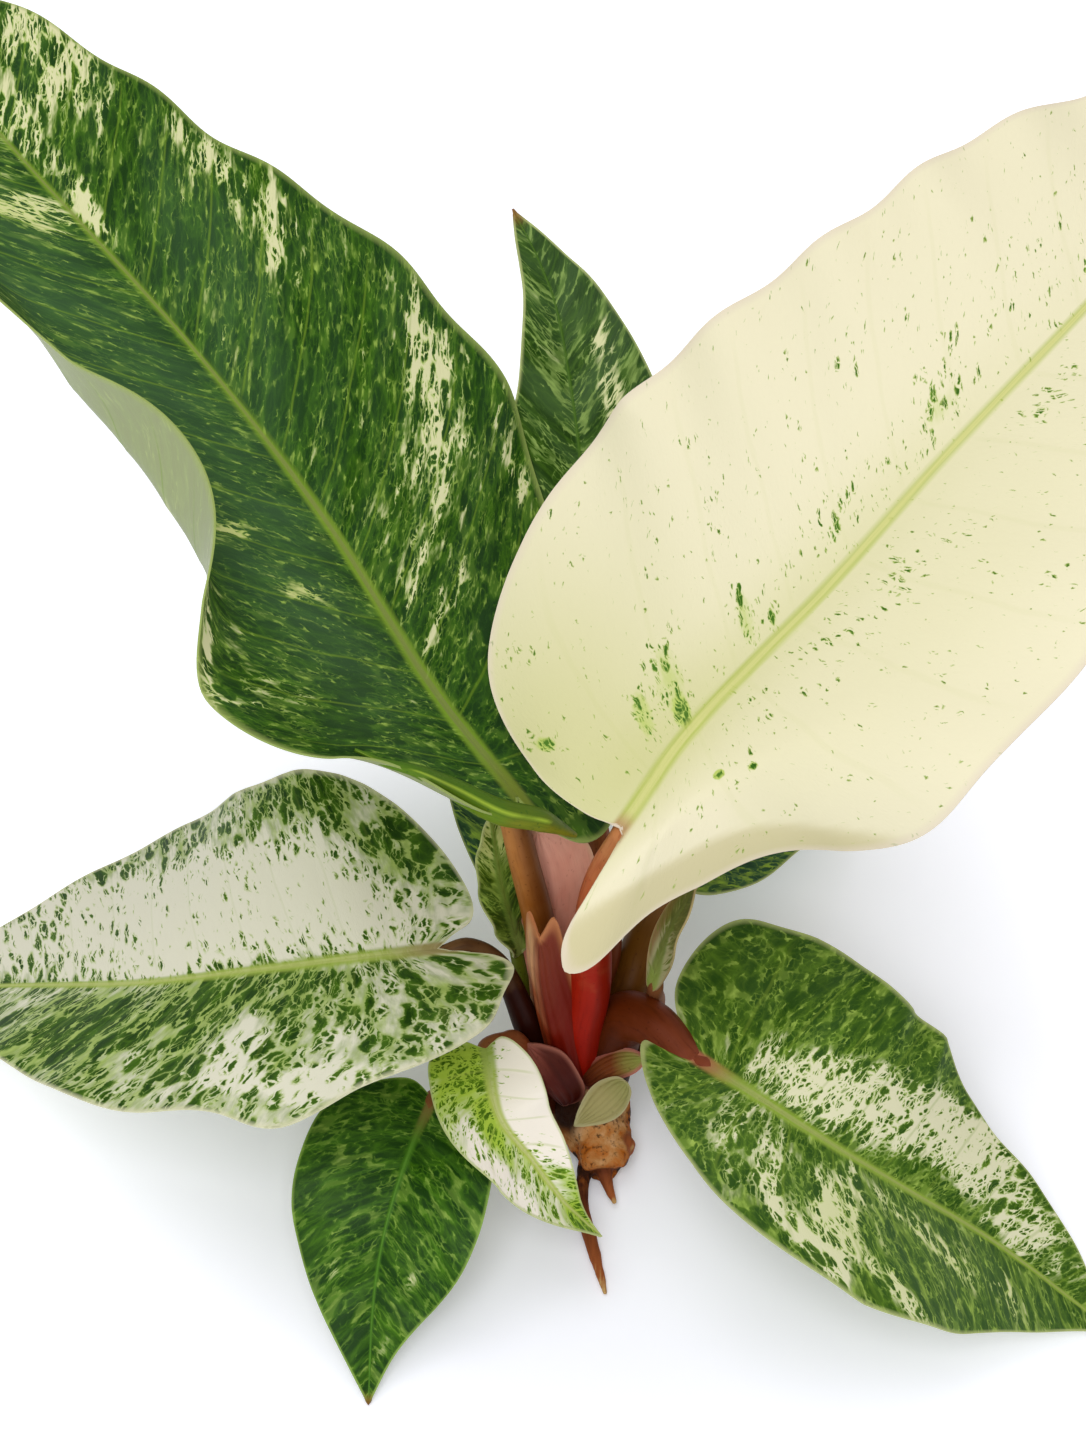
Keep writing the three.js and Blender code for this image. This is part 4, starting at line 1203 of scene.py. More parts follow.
# The blades, with a few sizes a little finer than the solids have them
BLADES = {shape.name: shape for shape in (
    BladeShape(
        "leaf_upper_left", rib_depth=2.2, roll=(8, 12, 8),
        rib=(
            (-20.5, 28, 99), (-41, 50.5, 112.5), (-67, 77, 145), (-97, 106, 171), (-130, 138, 190),
            (-164, 178, 200), (-197, 219, 203)),
        left=HalfBlade(
            fold=(26, 2, 2), arch=(2, 0, 0), wave=(1.2, 6, 0.2),
            curls=(
                Curl(0.36, 0.13, 0.5, 0.22, 40), Curl(0.46, 0.24, 0.55, 0.22, 65),
                Curl(0, 0.24, 0.7, 0.25, 50)),
            edge=(
                (0, 0), (-2, 4), (-3, 12), (0, 22), (8, 34), (26, 51), (50, 66), (74, 70), (98, 65),
                (120, 60), (144, 54), (172, 46), (204, 37), (236, 26), (262, 13), (276, 5), (288, 0))),
        right=HalfBlade(
            fold=(-6, 14, 14), arch=(-12, -10, -8), wave=(1.4, 7, 0),
            edge=(
                (0, 0), (-9, 2), (-18, 9), (-16, 22), (-1, 36), (25, 53.5), (52, 64.5), (78, 69.5), (110, 65),
                (140, 57), (170, 46), (205, 37), (236, 27), (262, 14), (276, 5), (288, 0)))),
    BladeShape(
        "leaf_upper_right", rib_depth=2.4,
        rib=(
            (4, 15, 104), (21, 34, 118), (52, 56, 142), (79, 78, 163), (113, 108, 183), (141, 138, 194),
            (165, 166, 200), (184, 184, 203)),
        left=HalfBlade(
            fold=(12, 8, 8), arch=(0, -6, -6), wave=(1.6, 8, 0.1),
            edge=(
                (0, 0), (-2, 10), (-1, 24), (6, 38), (18, 52), (38, 65), (60, 71), (90, 70), (120, 65),
                (150, 59), (178, 53), (200, 44), (224, 29), (248, 12), (260, 5), (270, 0))),
        right=HalfBlade(
            fold=(0, 6, 8), arch=(-10, -12, -6), wave=(1.4, 6, 0.3),
            curls=(Curl(-0.04, 0.32, 0.42, 0.12, -70),),
            edge=(
                (0, 0), (-3, 3.6), (-9, 4.4), (-18, 3.8), (-28, 4.8), (-33.5, 8.5), (-34.5, 12), (-29, 17),
                (-12, 22), (4, 32), (20, 42), (34, 51), (56, 60), (90, 61), (120, 59), (150, 55), (180, 49),
                (205, 39), (228, 25), (248, 11), (260, 5), (270, 0)))),
    BladeShape(
        "leaf_back", rib_depth=1.4,
        rib=(
            (-3, 70, 56), (-4, 88, 73), (-4, 107, 95), (-5, 125, 114), (-10, 147, 139), (-15, 160, 148),
            (-22, 175, 153)),
        left=HalfBlade(
            fold=15, wave=(0.8, 5, 0),
            edge=(
                (0, 0), (-5, 8), (3, 18), (20, 24), (45, 26), (75, 25), (98, 21), (111, 15.5), (124, 12),
                (140, 8), (156, 4), (168, 0))),
        right=HalfBlade(
            fold=15, wave=(0.8, 5, 0.4),
            edge=(
                (0, 0), (-5, 8), (3, 20), (20, 28), (45, 29), (75, 26), (100, 23), (120, 18.5), (135, 12.5),
                (150, 6.5), (168, 0)))),
    BladeShape(
        "leaf_left", rib_depth=1.6, calm=0.1,
        rib=((-40, 12, 60), (-62, 6, 64), (-87, 6, 59), (-114, 12, 46), (-152, 30, 20), (-179, 42, 0.6)),
        left=HalfBlade(
            fold=(14, 8, 8), arch=(-10, -8, -8), wave=(1, 5, 0.3),
            edge=(
                (0, 0), (-7, 2), (-14, 4), (-17, 9), (-12, 17), (-6, 26), (4, 33), (14, 38), (24, 42),
                (36, 50), (48, 44), (62, 42), (80, 37), (100, 29), (120, 22), (140, 14), (155, 7), (164, 0))),
        right=HalfBlade(
            fold=(10, 8, 8), arch=(-10, -10, -8), wave=(0.4, 5, 0),
            edge=(
                (0, 0), (-5, 4), (-11, 8), (-12, 16), (-8, 30), (0, 44), (12, 53), (28, 57), (50, 58),
                (75, 58), (95, 53), (115, 42), (132, 29), (150, 14), (164, 0)))),
    BladeShape(
        "leaf_front", rib_depth=1,
        rib=((-41, -11, 30), (-47, -29, 31), (-52, -45, 25), (-55, -59, 13), (-56, -79, 0.5)),
        left=HalfBlade(
            fold=15, arch=(-16, -16, -10), wave=(0.5, 3, 0),
            edge=((0, 0), (-3, 6), (2, 14), (12, 20), (26, 23), (40, 22), (54, 16), (68, 6), (80, 0))),
        right=HalfBlade(
            fold=15, arch=(-16, -16, -10), wave=(0.5, 3, 0.5),
            edge=((0, 0), (-3, 8), (4, 18), (14, 24), (26, 25), (38, 23), (52, 16), (66, 8), (80, 0)))),
    BladeShape(
        "leaf_small_front", rib_depth=0.8,
        rib=((-28, -4, 41), (-25, -22, 39), (-17, -31, 33), (-9, -38, 25), (0, -41, 15)),
        left=HalfBlade(
            fold=20, wave=(0.4, 2, 0),
            edge=((0, 0), (-2, 5), (6, 11), (16, 13), (28, 11), (42, 6), (52, 2), (59, 0))),
        right=HalfBlade(
            fold=20, wave=(0.4, 2, 0.5),
            edge=((0, 0), (-2, 8), (4, 15), (12, 16), (24, 15), (36, 13), (48, 6), (59, 0)))),
    BladeShape(
        "leaf_right", rib_depth=1.6,
        rib=((23, -6, 40), (37, -20, 44), (54, -32, 42), (70, -38, 34), (96, -45, 17), (124, -59, 0.6)),
        left=HalfBlade(
            fold=(14, 12, 12), arch=(-16, -14, -10), wave=(0.8, 4, 0),
            edge=(
                (0, 0), (-10, 5), (-20, 14), (-24, 28), (-21, 39), (-9, 43.5), (8, 46), (34, 44), (52, 44),
                (64, 41.5), (75, 33), (83, 25.5), (93, 21.5), (104, 15), (116, 8), (128, 0))),
        right=HalfBlade(
            fold=(14, 12, 12), arch=(-16, -14, -10), wave=(0.8, 4, 0.5),
            edge=(
                (0, 0), (-8, 2), (-14, 4), (-10, 9), (0, 16), (15, 23), (30, 30), (45, 34), (62, 36),
                (78, 33), (94, 26), (108, 16), (119, 7), (128, 0)))),
    BladeShape(
        "leaf_low_back_right", rib_depth=1, rib=((20, 60, 28), (36, 84, 24), (55, 108, 12), (70, 128, 0.5)),
        left=HalfBlade(
            fold=8, arch=-10, wave=(0.6, 4, 0),
            edge=((0, 0), (-3, 5), (1, 12), (14, 19), (36, 21), (60, 15), (76, 7), (88, 0))),
        right=HalfBlade(
            fold=(0, 4, 8), arch=-10, wave=(0.6, 4, 0.5),
            edge=((0, 0), (-3, 5), (1, 12), (14, 19), (36, 21), (60, 15), (76, 7), (88, 0)))),
    BladeShape(
        "leaf_low_back_left", rib_depth=1.2,
        rib=((-14, 31, 46), (-17, 64, 45), (-22, 112, 27), (-34, 158, 0.6)),
        left=HalfBlade(
            fold=8, arch=-10, wave=(0.6, 4, 0.2),
            edge=((0, 0), (0, 4), (4, 9), (15, 15), (40, 20), (80, 22), (110, 16), (130, 7), (146, 0))),
        right=HalfBlade(
            fold=8, arch=-10, wave=(0.6, 4, 0.7),
            edge=((0, 0), (-4, 3), (0, 7), (14, 10), (40, 14), (80, 17), (110, 13), (130, 6), (146, 0)))),
    BladeShape(
        "leaf_young_left", rib_depth=0.6, rib=((-20, 24, 43), (-24, 27, 62), (-27, 35, 84)),
        left=HalfBlade(
            fold=10, wave=(1.2, 4, 0), edge=((0, 0), (2, 3.5), (14, 6.2), (30, 6), (40, 3.5), (46, 0))),
        right=HalfBlade(
            fold=10, wave=(1.2, 4, 0.3), edge=((0, 0), (2, 3), (14, 5), (30, 5), (40, 3), (46, 0)))),
    BladeShape(
        "leaf_young_right", rib_depth=0.6, rib=((12.5, 14, 41), (16.5, 17, 60), (22.5, 18, 78)),
        left=HalfBlade(fold=10, wave=(0, 3, 0), edge=((0, 0), (2, 2), (12, 4), (24, 5), (32, 4), (38, 0))),
        right=HalfBlade(
            fold=10, wave=(0, 3, 0), edge=((0, 0), (2, 2), (12, 4.5), (24, 6), (33, 6), (38, 0)))),
)}


def wrapped_shape(name: str, face: tuple, fold: float, arch: tuple, rib: tuple, edge: tuple) -> BladeShape:
    """Makes the shape of a sheath, whose two halves are alike.

    Args:
        name: its node's name.
        face: the way that its outer side looks.
        fold: its angle beside the middle line.
        arch: how much more it has at the margin.
        rib: its middle line.
        edge: its flat outline.

    Returns:
        The shape.
    """
    half = HalfBlade(fold, wave=(0, 1, 0), edge=edge, arch=arch)
    return BladeShape(name=name, rib=rib, left=half, right=half, face=face)


# Living leaf: satin gloss over green cells, cream where they have lost their green, and a painted sheen on
# the greens
MARBLED_DARK = LeafFinish(
    "waxy dark green leaf, marbled cream", deep="#17380a", green="#3e6810", sheen_and_tint="#486844", lime="#a0bc54",
    margin="#98a85c", cream_from=0.14, cream_to=0.42, pale=0.0, rib="#7f8c44", rib_edge="#78982a",
    rib_base="#74802e", strands=1.1, cell=1.15, stretch=2.1, patchiness=0.6, vein_show=0.4, faintness=0.94,
    faint_from=0.5)
CREAM = LeafFinish(
    "ivory leaf with green specks", pale=1.5, cell=1.0, stretch=2.0, deep="#24520a", green="#4c7c1c",
    sheen_and_tint="#5c8430", lime="#b8c866", cream="#e9e2c2", cast="#bfc076", rib="#cccc80", rib_edge="#b2bc5e",
    rib_base="#b08c60", margin="#dfd2bd", under="#d8d0ae", vein_mm=22.0, vein_width=0.9, vein_show=0.06,
    cream_from=0.35, cream_to=0.9, patchiness=0.33, softness=0.12, faintness=0.0, bluish=0.0)
DARK_BLOTCHED = LeafFinish(
    "dark green leaf with pale blotches", pale=0.04, deep="#1e3a08", green="#44661c", sheen_and_tint="#48633a",
    lime="#86a054", rib="#4c6c26", rib_edge="#3e6018", bluish=0.5, vein_mm=14.0, patchiness=0.4)
HALF_WHITE = LeafFinish(
    "half white leaf with dark specks", pale=0.4, deep="#1c3a06", green="#4a7014", cream="#dddac6",
    rib="#b0ba68", rib_edge="#98ac4a", rib_base="#9a8a5c", lime="#a4b864", margin="#d4d2ae", cell=1.25,
    patchiness=0.5, cream_from=0.12, cream_to=0.6, vein_show=0.12, stretch=2.3, faintness=0.3, strands=0.9,
    vein_mm=16.0)
GREEN = LeafFinish(
    "mid green leaf with yellow-green streaks", pale=-0.06, deep="#163a04", rib="#56842a", rib_edge="#42701a",
    rib_base="#8a7040", margin="#8fae50", green="#477412", lime="#8ca84a", vein_mm=10.0, faint_from=0.5)
SPLIT_WHITE = LeafFinish(
    "leaf half marbled and half white", pale=0.62, cell=0.75, cream="#f0e8dc", lime="#a8c444",
    green="#6c9422", deep="#3a5c0c", rib="#b9bf78", rib_edge="#a8b850", cream_from=0.4, cream_to=0.8,
    faintness=0.15, bluish=0.0, vein_mm=9.0)
SECTORED = LeafFinish(
    "green leaf with a cream sector", pale=0.1, deep="#294a0c", green="#587a1e", rib="#98a458",
    rib_edge="#86a038", rib_base="#a8624c", cream="#dad8b6", cell=1.0, strands=1.1, patchiness=0.45,
    lime="#9ab450", cream_from=0.14, cream_to=0.45, faint_from=0.46, vein_mm=15.0)
LOW_DARK = LeafFinish(
    "blue-green low leaf with pale blotches", pale=0.12, deep="#1c3a20", green="#406434", sheen_and_tint="#3c5c48",
    bluish=0.5)
YOUNG = LeafFinish(
    "light green young leaf, marbled", pale=0.2, deep="#304806", green="#5a741c", cell=0.9, cream="#b4bc70",
    lime="#8ca444", rib="#6c7e30", rib_edge="#688230", vein_mm=8.0, vein_show=0.15)
YOUNG_SOFT = LeafFinish(
    "light green young leaf with a tan edge", pale=0.28, deep="#5c6c2c", green="#707c34", cell=1.6,
    cream="#b0b080", lime="#8c9650", margin="#b09a6c", cast="#94784c", sheen_and_tint="#8a6e3c", softness=0.2,
    rib="#707c38", rib_edge="#6c7c38", vein_mm=8.0, vein_show=0.1)

# Stalk and sheath skin: smooth and fleshy or dry and papery, with fine streaks along it
STALK_RED = StemFinish(
    "fleshy red leaf stalk", "#901002", "#a01c06", "#b87848", "#5a0c02", dark_side=0.45, dark_from=1.0)
# Its near-black base is painted shade deep in the crown; the brown-red above it is its own colour
STALK_RIGHT = StemFinish("fleshy brown-red leaf stalk", "#200602", "#5c2406", "#7e3e28", "#300a02")
# Its right side darkens to its streak colour: painted shade
STALK_BROWN = StemFinish(
    "fleshy brown leaf stalk", "#6a3208", "#9a581a", "#bc8048", "#502404", dark_side=0.75, dark_from=-2.0)
STALK_DARK = StemFinish("shaded brown leaf stalk", "#4c2404", "#6c4410", "#8a5c2a", "#2c1204")
# Near black for most of its length: painted shade on a stalk deep in the crown; its brown top is its own
# colour
STALK_LEFT = StemFinish("dark brown leaf stalk", "#180402", "#2c0c04", "#7c5a34", "#120302")
STALK_OLIVE = StemFinish("slim olive leaf stalk", "#34280a", "#545c12", "#626c18", "#2c2c08")
STALK_SMALL = StemFinish("slim brown-pink leaf stalk", "#3a1206", "#7c3c1c", "#8a5c38", "#3c1406")
SHEATH_PINK = StemFinish(
    "dusty pink papery sheath", "#b4503e", "#e4947e", "#eeb09a", "#a0503e", edge="#e4b494", streak_show=0.22,
    streak_mm=0.6)
SHEATH_ORANGE = StemFinish(
    "orange-pink split sheath", "#6a1408", "#92401f", "#dcac7c", "#680a02", edge="#b4744a", streak_show=0.3,
    dark_side=0.92, dark_from=-4.0, dark_to=0.0)
SHEATH_MAROON = StemFinish(
    "maroon old sheath", "#340802", "#5c1e14", "#86483c", "#300602", edge="#8e5648", streak_show=0.3,
    dark_side=0.7, dark_from=1.0, dark_to=4.0)
SHEATH_LOW = StemFinish(
    "brown-pink sheath with a green end", "#4a160a", "#6c3618", "#8a9444", "#40120a", edge="#a8655a")
# Darker above its lime line: the roll's inner side, darkened with painted shade
ROLLED_GREEN = StemFinish(
    "rolled leaf margin", "#587a1c", "#5e7c18", "#7e7a1c", "#34581c", edge="#98b038", streak_mm=0.45,
    streak_show=0.6, dark_side=0.6, dark_from=-0.1, dark_to=1.4)
DRY_BRACT = StemFinish(
    "dry olive-grey bract", "#8a8a50", "#9c9260", "#98905c", "#6e6c38", edge="#b6ae82", roughness=0.6)

LEAVES = (
    Leaf(
        BLADES["leaf_upper_left"], MARBLED_DARK, "blade_marbled_dark", rows=220, columns=36, lean=0.8,
        rib_width=(3.2, 1.1, 0.4),
        patches=(
            Patch(90, 44, 27, 12, 0.38, 43, crisp=1), Patch(99, 54, 9, 5, 0.3, 43),
            Patch(66, 61, 16, 5, 0.4, 10), Patch(172, 38, 22, 7, 0.44, crisp=1),
            Patch(143, 37, 16, 9, 0.38, 45, crisp=1), Patch(112, 56, 10, 4, 0.3, 20, crisp=1),
            Patch(200, 8, 30, 16, 0.14), Patch(222, 24, 28, 11, 0.44, crisp=1),
            Patch(212, 4, 22, 8, 0.2, crisp=1), Patch(178, 5, 18, 3.5, 0.36, 10, crisp=1),
            Patch(180, -7, 14, 5, 0.35, -45), Patch(56, 24, 34, 14, 0.18, 45),
            Patch(91, -27, 10, 3, 0.5, -60, crisp=1), Patch(101, -38, 3, 9, 0.5, 20),
            Patch(28, -50, 40, 9, -0.6, 50), Patch(77, -66, 14, 4, 0.55, 20),
            Patch(71, -22, 9, 2.5, 0.42, -60, crisp=1), Patch(62, -50, 26, 14, 0.16, -40),
            Patch(125, 26, 20, 14, -0.12, 40), Patch(120, -14, 44, 9, -0.12)),
        # These casts warm the cream and lay most of the painted sheen on the greens
        casts=(Patch(120, -22, 90, 22, 0.7), Patch(140, 18, 40, 12, 0.4, 20))),
    Leaf(
        BLADES["leaf_upper_right"], CREAM, "blade_cream", rows=220, columns=36, blush_mm=5,
        patches=(
            Patch(33, -12, 13, 4.5, -0.9, -60), Patch(24, -11, 8, 2.5, -0.95, -60),
            Patch(30, -4, 4, 2, -0.8, -60), Patch(7, -26, 3, 2, -0.7, 60), Patch(56, -10, 11, 3, -0.8, -60),
            Patch(60, -4, 5, 1.6, -0.8, -60), Patch(70, -36, 8, 3, -0.5, -40),
            Patch(24, 12.5, 1.4, 1.1, -2.6), Patch(32, 18, 1.6, 1.1, -1.6), Patch(98, -9, 36, 7, -0.45),
            Patch(128, -14, 14, 6, -0.45, -40), Patch(118, -34, 8, 5, -0.5, -40), Patch(140, 10, 12, 4, -0.6),
            Patch(106, 18, 9, 4, -0.55, 20), Patch(19, -46, 9, 4, -0.45, 60), Patch(5, -30, 8, 4, -0.5, 60),
            Patch(62, 12, 40, 9, -0.38), Patch(165, -14, 30, 14, -0.3)),
        casts=(
            Patch(46, -2, 90, 11, 0.3, crisp=1), Patch(6, -26, 34, 40, 0.62, crisp=1),
            Patch(90, 20, 70, 26, 0.2, crisp=1), Patch(-8, 14, 26, 13, -0.6, crisp=1)),
        # Painted shade on the right lobe's turned-down outer part
        fold_shades=(Patch(-4, 35, 62, 18, 0.9, 33, Side.RIGHT, crisp=12),)),
    Leaf(
        BLADES["leaf_back"], DARK_BLOTCHED, "blade_dark_blotched", tip_show=1.0, rib_width=(1.4, 0.6, 0.3),
        patches=(Patch(102, 10, 16, 4, 0.42), Patch(113, -4, 18, 4, 0.2), Patch(128, 3, 14, 9, -0.15))),
    Leaf(
        BLADES["leaf_left"], HALF_WHITE, "blade_half_white", rows=160,
        patches=(
            Patch(72, 20, 62, 18, 0.62, 0, Side.RIGHT), Patch(26, 16, 26, 9, 0.45, 40, Side.RIGHT),
            Patch(28, 48, 26, 8, -0.15, 10), Patch(2, 28, 13, 13, -0.25, 60),
            Patch(94, -18, 26, 14, -0.3, 0, Side.LEFT), Patch(58, -10, 12, 14, -0.25, 0, Side.LEFT),
            Patch(34, -8, 12, 12, -0.25, -30, Side.LEFT), Patch(8, -18, 8, 7, -0.1, 0, Side.LEFT),
            Patch(24, -40, 24, 5, 0.4, 10, Side.LEFT), Patch(46, -26, 5, 12, 0.3, 20, Side.LEFT))),
    Leaf(
        BLADES["leaf_front"], GREEN, "blade_green", tip_show=1.0, rib_width=(1.6, 0.6, 0.3),
        patches=(
            Patch(50, -8, 12, 2, 0.4, 25), Patch(45, 11, 9, 2, 0.35, -10), Patch(66, -3, 6, 1.5, 0.45, 25),
            Patch(56, 13, 6, 2, 0.3, -20), Patch(23, 16, 5, 2, 0.25, -30))),
    Leaf(
        BLADES["leaf_small_front"], SPLIT_WHITE, "blade_split_white",
        patches=(
            Patch(16, -12, 24, 11, 1.3, 0, Side.LEFT), Patch(38, -6, 10, 4, -0.25),
            Patch(31, 11, 18, 4.5, 0.5, 12, crisp=1), Patch(54, 0, 8, 6, -0.5),
            Patch(8, 8, 14, 9, -0.42, crisp=1), Patch(24, 6, 9, 3, -0.25, 20))),
    Leaf(
        BLADES["leaf_right"], SECTORED, "blade_sectored", rows=150,
        patches=(
            Patch(48, -16, 38, 12, 0.5, -12, Side.LEFT), Patch(84, -14, 24, 10, 0.48, 25, Side.LEFT),
            Patch(20, -32, 36, 14, -0.12, 0, Side.LEFT), Patch(30, 14, 22, 9, 0.3, 45, Side.RIGHT),
            Patch(49, 17, 15, 4.5, 0.46, 75, Side.RIGHT), Patch(48, 30, 14, 3, 0.3, 30, Side.RIGHT),
            Patch(64, 29, 16, 3, 0.35, 30, Side.RIGHT), Patch(70, 10, 22, 3, 0.25, 20, Side.RIGHT),
            Patch(100, 12, 14, 4, 0.25, 0, Side.RIGHT), Patch(10, -34, 40, 13, -0.14, 0, Side.LEFT)),
        casts=(Patch(82, 16, 44, 18, 0.5, 0, Side.RIGHT),)),
    Leaf(BLADES["leaf_low_back_right"], LOW_DARK, "blade_low_dark"),
    Leaf(BLADES["leaf_low_back_left"], LOW_DARK, "blade_low_dark"),
    Leaf(
        BLADES["leaf_young_left"], YOUNG, "blade_young", columns=16, rows=80,
        patches=(Patch(42, 0, 12, 10, 0.5, crisp=1),)),
    Leaf(
        BLADES["leaf_young_right"], YOUNG_SOFT, "blade_young", columns=16, rows=80,
        patches=(Patch(8, 1, 12, 8, 0.7, crisp=1),), casts=(Patch(20, -5, 26, 2.6, 1.0, crisp=3),)),
)

STALKS = (
    Stalk(
        "upper_right", (6, 5.8, 5.2, 3.7, 3.1), ((-5, 6, 8), (-5, 10, 30), (-3, 12, 46), (-1.6, 14.6, 80)),
        STALK_RED, "stalk_red", knuckle_mm=3.5, knuckle_sink=1.2),
    Stalk(
        "upper_left", (4.8, 4.4, 4, 3.7, 3.4), ((-10, 8, 8), (-13, 16, 34), (-15, 22, 56), (-19, 26, 78)),
        STALK_BROWN, knuckle_mm=4, knuckle_sink=2.5),
    Stalk("right", (6.5, 7, 5.2, 3.6), ((0, 6, 10), (5, 12, 30), (13, 7, 36)), STALK_RIGHT, "stalk_red"),
    Stalk(
        "left", (3.6, 3.5, 2.4, 1.9), ((-13, 7, 10), (-18, 10, 31), (-24.5, 13.5, 51), (-32, 14.5, 58)),
        STALK_LEFT),
    Stalk("front", (3.2, 3.4, 3, 2.2), ((-12, 2, 8), (-20, -2, 21), (-31, -7.5, 27.5)), STALK_SMALL),
    Stalk("small_front", (2.8, 2.5, 2.2, 1.8), ((-13, 4, 10), (-20, 4, 32), (-24, 0, 39)), STALK_SMALL),
    Stalk("back", (4, 3.6, 3.3, 3), ((-3, 14, 8), (-1, 23, 20), (2, 32, 36), (1, 44, 48)), STALK_SMALL),
    Stalk("low_back_right", (4.8, 5.6, 4.6, 2.5), ((1, 14, 8), (7.2, 25.5, 25), (11.6, 37, 31)), STALK_DARK),
    Stalk("low_back_left", (3.2, 3, 2.7, 2.4), ((-8, 14, 8), (-11, 22, 24), (-13, 27, 35)), STALK_SMALL),
    Stalk("young_left", (2.2, 2, 1.8, 1.5), ((-12, 10, 10), (-18, 18, 29)), STALK_OLIVE),
    Stalk("young_right", (2.6, 2.4, 2.2, 1.8), ((5, 12, 9), (12, 16, 18), (14, 18, 30)), STALK_SMALL),
)

WRAPPINGS = (
    Sheath(
        wrapped_shape(
            "sheath_tall_pink", face=(0.1, -1, 0.1), fold=-8, arch=(-60, -40, -20),
            rib=((-8, 16, 14), (-11, 26, 44), (-11.5, 28.5, 67), (-15.5, 31, 84)),
            edge=((0, 0), (0, 6), (10, 9), (35, 11.5), (57, 11), (67, 7.5), (72, 0))),
        SHEATH_PINK, "sheath_pink"),
    Sheath(
        wrapped_shape(
            "sheath_split_front", face=(-0.4, -1, 0.1), fold=-6, arch=(-90, -70, -50),
            rib=((-8, -1, 14), (-11, 4, 30), (-14, 8, 50), (-15, 10, 68)),
            edge=((0, 0), (0, 5), (8, 7), (30, 8), (50, 6), (62, 4), (56, 0))),
        SHEATH_ORANGE, "sheath_orange"),
    Sheath(
        wrapped_shape(
            "sheath_maroon", face=(-0.5, -0.8, 0.3), fold=-6, arch=(-50, -40, -20),
            rib=((-9, -3, 15.5), (-13.5, -2, 25), (-18.5, 3.5, 33)),
            edge=((0, 0), (0, 5), (6, 8), (16, 8), (21, 4), (23, 0))),
        SHEATH_MAROON, "sheath_maroon"),
    Sheath(
        wrapped_shape(
            "sheath_right", face=(0, -0.6, 0.8), fold=-6, arch=(-50, -40, -20),
            rib=((-4, 1, 19), (3, 1.5, 26), (12.5, 2, 29)),
            edge=((0, 0), (0, 3), (6, 4), (13, 3.5), (18, 0))),
        SHEATH_LOW, "sheath_pink"),
    Sheath(
        wrapped_shape(
            "bract_dry", face=(0, -0.7, 0.7), fold=-4, arch=(-40, -40, -30),
            rib=((6.5, -2, 24), (0.5, -6.5, 20.5), (-6.5, -8.5, 14.5)),
            edge=((0, 0), (1, 3), (5, 5.2), (10, 5), (15, 2.5), (18, 0))),
        DRY_BRACT, "bract_dry"),
)

ROLLS = (
    RolledMargin(
        "leaf_upper_left_margin",
        (
            (-57, 13.5, 134.6), (-50.5, 12.4, 131.4), (-43.5, 13.1, 127.6), (-36, 16.9, 117.2),
            (-25, 17.5, 107.4), (-15, 20, 100.8), (-6.5, 22.1, 92.3)),
        (0.4, 1.2, 2.0, 2.8, 3.2, 2.8, 0.6), ROLLED_GREEN, "blade_marbled_dark"),
)

RHIZOME = Rhizome(
    node="rhizome_with_roots",
    path=((1, -16, 6), (0, -8, 7), (-2, 2, 8), (-4, 12, 8.5), (-4, 19, 8)),
    radius=(4.6, 7.6, 9.8, 9.5, 5),
    roots=(
        (
            ((-3, -12, 6), (-4.6, -21, 3), (-3.4, -30, 2.2), (-1, -40, 1.6), (1, -48.5, 1)),
            (2.4, 1.9, 1.6, 1.6, 1.7, 1.5, 1.1, 0.4),
        ),
        (((0, -12, 6), (1.5, -18, 4.5), (3.6, -23.5, 2.5)), (3.4, 2.6, 1.9, 1.4, 1, 0.4)),
        (((3, -8, 6), (6, -9.5, 7), (8, -10.5, 7.4)), (4, 3.8, 3.3, 2.8, 1.8)),
    ),
    finish=RootFinish(),
    slot="rhizome",
)


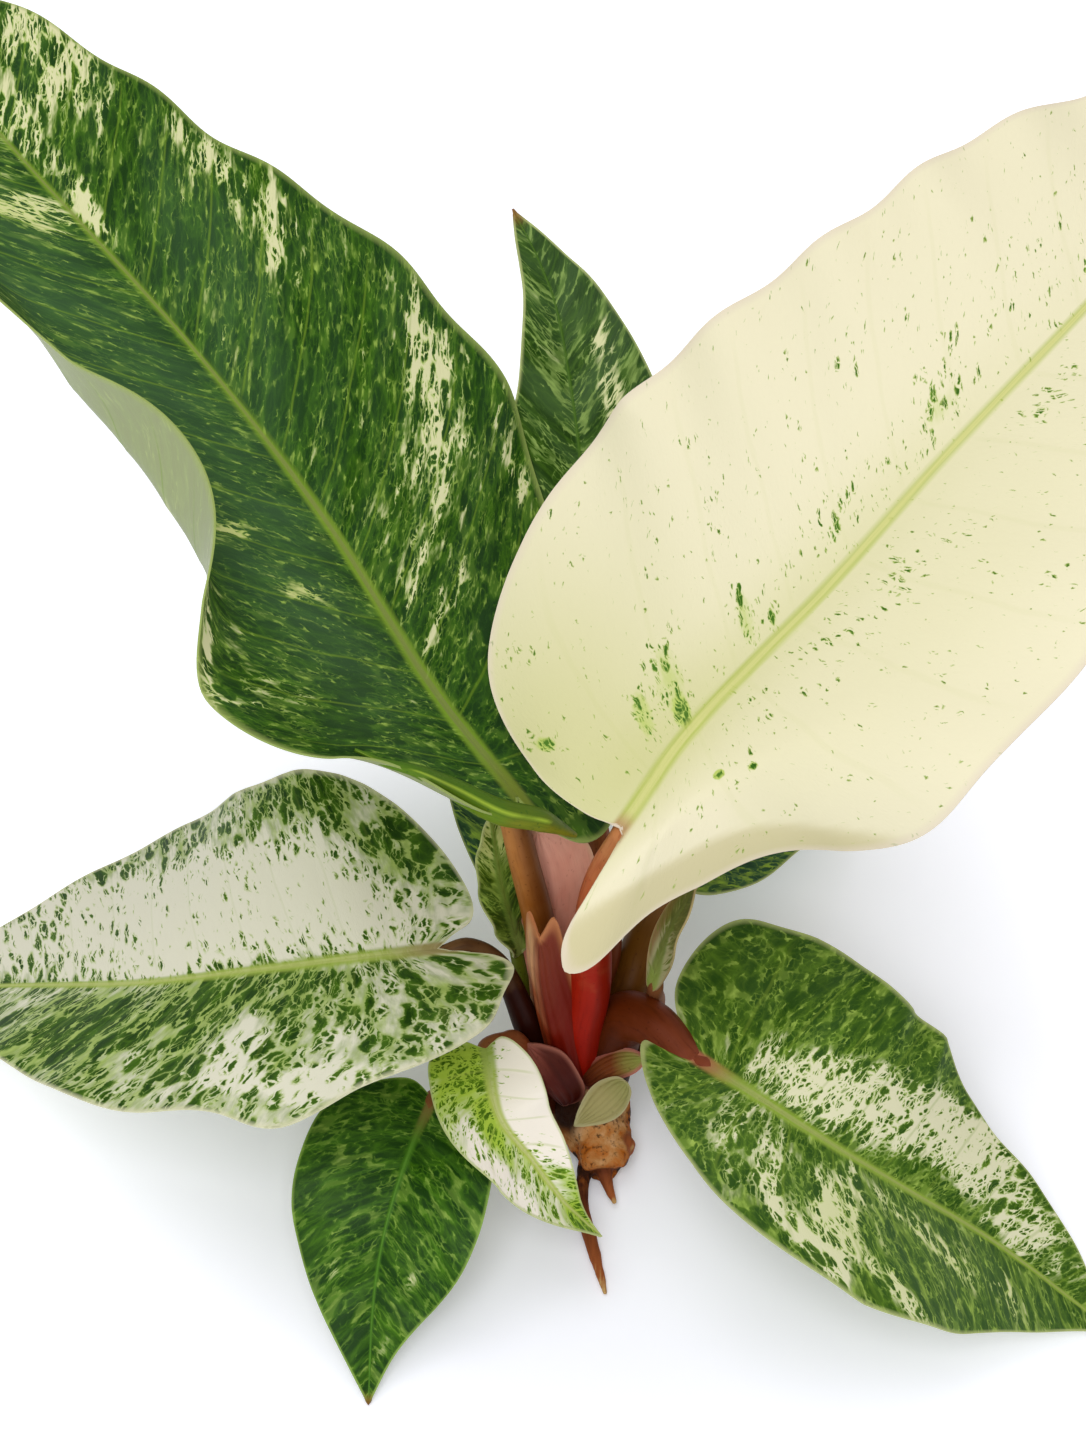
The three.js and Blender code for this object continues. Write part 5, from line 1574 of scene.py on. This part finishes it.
@dataclass(frozen=True)
class Studio:
    """A pale floor, soft light from above, and the camera looking down at the plant."""

    eye: tuple = (-14.25, -507.265, 764.325)
    target: tuple = (-14.25, 71.2, 74.9)
    lens: float = 89.503
    sensor: float = 36.0
    floor_size: float = 6.0
    floor_colour: str = "#eff0f8"
    world_strength: float = 0.45
    key_power: float = 4.5
    # Painted light: the floor's own glow, weak near the plant and strong beyond it, between these distances
    # in metres from its middle
    glow_near: float = 0.17
    glow_far: float = 0.62
    glow_from: float = 0.06
    glow_to: float = 0.18
    key_size: float = 0.9
    key_place: tuple = (-0.25, 0.15, 1.25)
    fill_power: float = 5.1
    fill_size: float = 0.5
    fill_place: tuple = (-0.12, -0.6, 0.98)

    def build(self) -> None:
        """Sets up the camera, the floor and the light."""
        self._camera()
        self._floor()
        self._light()

    def _camera(self) -> None:
        """Places the camera and makes it the scene's own."""
        data = bpy.data.cameras.new("camera")
        data.lens = self.lens
        data.sensor_width = self.sensor
        data.clip_start = 0.05
        data.clip_end = 20.0
        eye = Vector(self.eye) * MM
        bpy.context.scene.camera = self._aim(data, eye, Vector(self.target) * MM)

    def _aim(self, data: bpy.types.ID, place: Vector, target: Vector) -> bpy.types.Object:
        """Puts a camera or a lamp in its place, looking at its target."""
        item = bpy.data.objects.new(data.name, data)
        item.location = place
        item.rotation_mode = "QUATERNION"
        item.rotation_quaternion = (target - place).to_track_quat("-Z", "Y")
        bpy.context.scene.collection.objects.link(item)
        return item

    def _floor(self) -> None:
        """Lays the floor, a matt white board with painted light: it glows more towards its sides than by the
        plant, so the floor whitens away from the plant's shade.
        """
        bpy.ops.object.select_all(action="DESELECT")
        bpy.ops.mesh.primitive_plane_add(size=self.floor_size)
        floor = fresh_object("floor")
        paint = Paint("matt white board")
        away = paint.add("VectorMath LENGTH", paint.add("TexCoord", out="Object"))
        glow = paint.add(
            "MapRange SMOOTHSTEP", away, self.glow_from, self.glow_to, self.glow_near, self.glow_far)
        floor.data.materials.append(paint.finish({
            "Base Color": self.floor_colour,
            "Roughness": 0.9,
            "Specular IOR Level": 0.1,
            "Emission Color": self.floor_colour,
            "Emission Strength": glow,
        }))

    def _light(self) -> None:
        """Sets the white surroundings, one broad lamp above and one by the camera."""
        world = bpy.data.worlds.new("studio")
        world.use_nodes = True
        background = world.node_tree.nodes["Background"]
        background.inputs["Color"].default_value = (1.0, 1.0, 1.0, 1.0)
        background.inputs["Strength"].default_value = self.world_strength
        bpy.context.scene.world = world
        bpy.context.scene.view_settings.view_transform = "Standard"
        for name, power, size, place in (
            ("key", self.key_power, self.key_size, self.key_place),
            ("fill", self.fill_power, self.fill_size, self.fill_place),
        ):
            data = bpy.data.lights.new(name, "AREA")
            data.size = size
            data.energy = power
            self._aim(data, Vector(place), Vector())


def main() -> None:
    """Builds the studio and the plant, piece by piece."""
    logging.basicConfig(level=logging.INFO, format="%(name)s %(message)s")
    Studio().build()
    RHIZOME.build()
    for group in (STALKS, WRAPPINGS, LEAVES, ROLLS):
        for piece in group:
            piece.build()


if __name__ == "__main__":
    main()
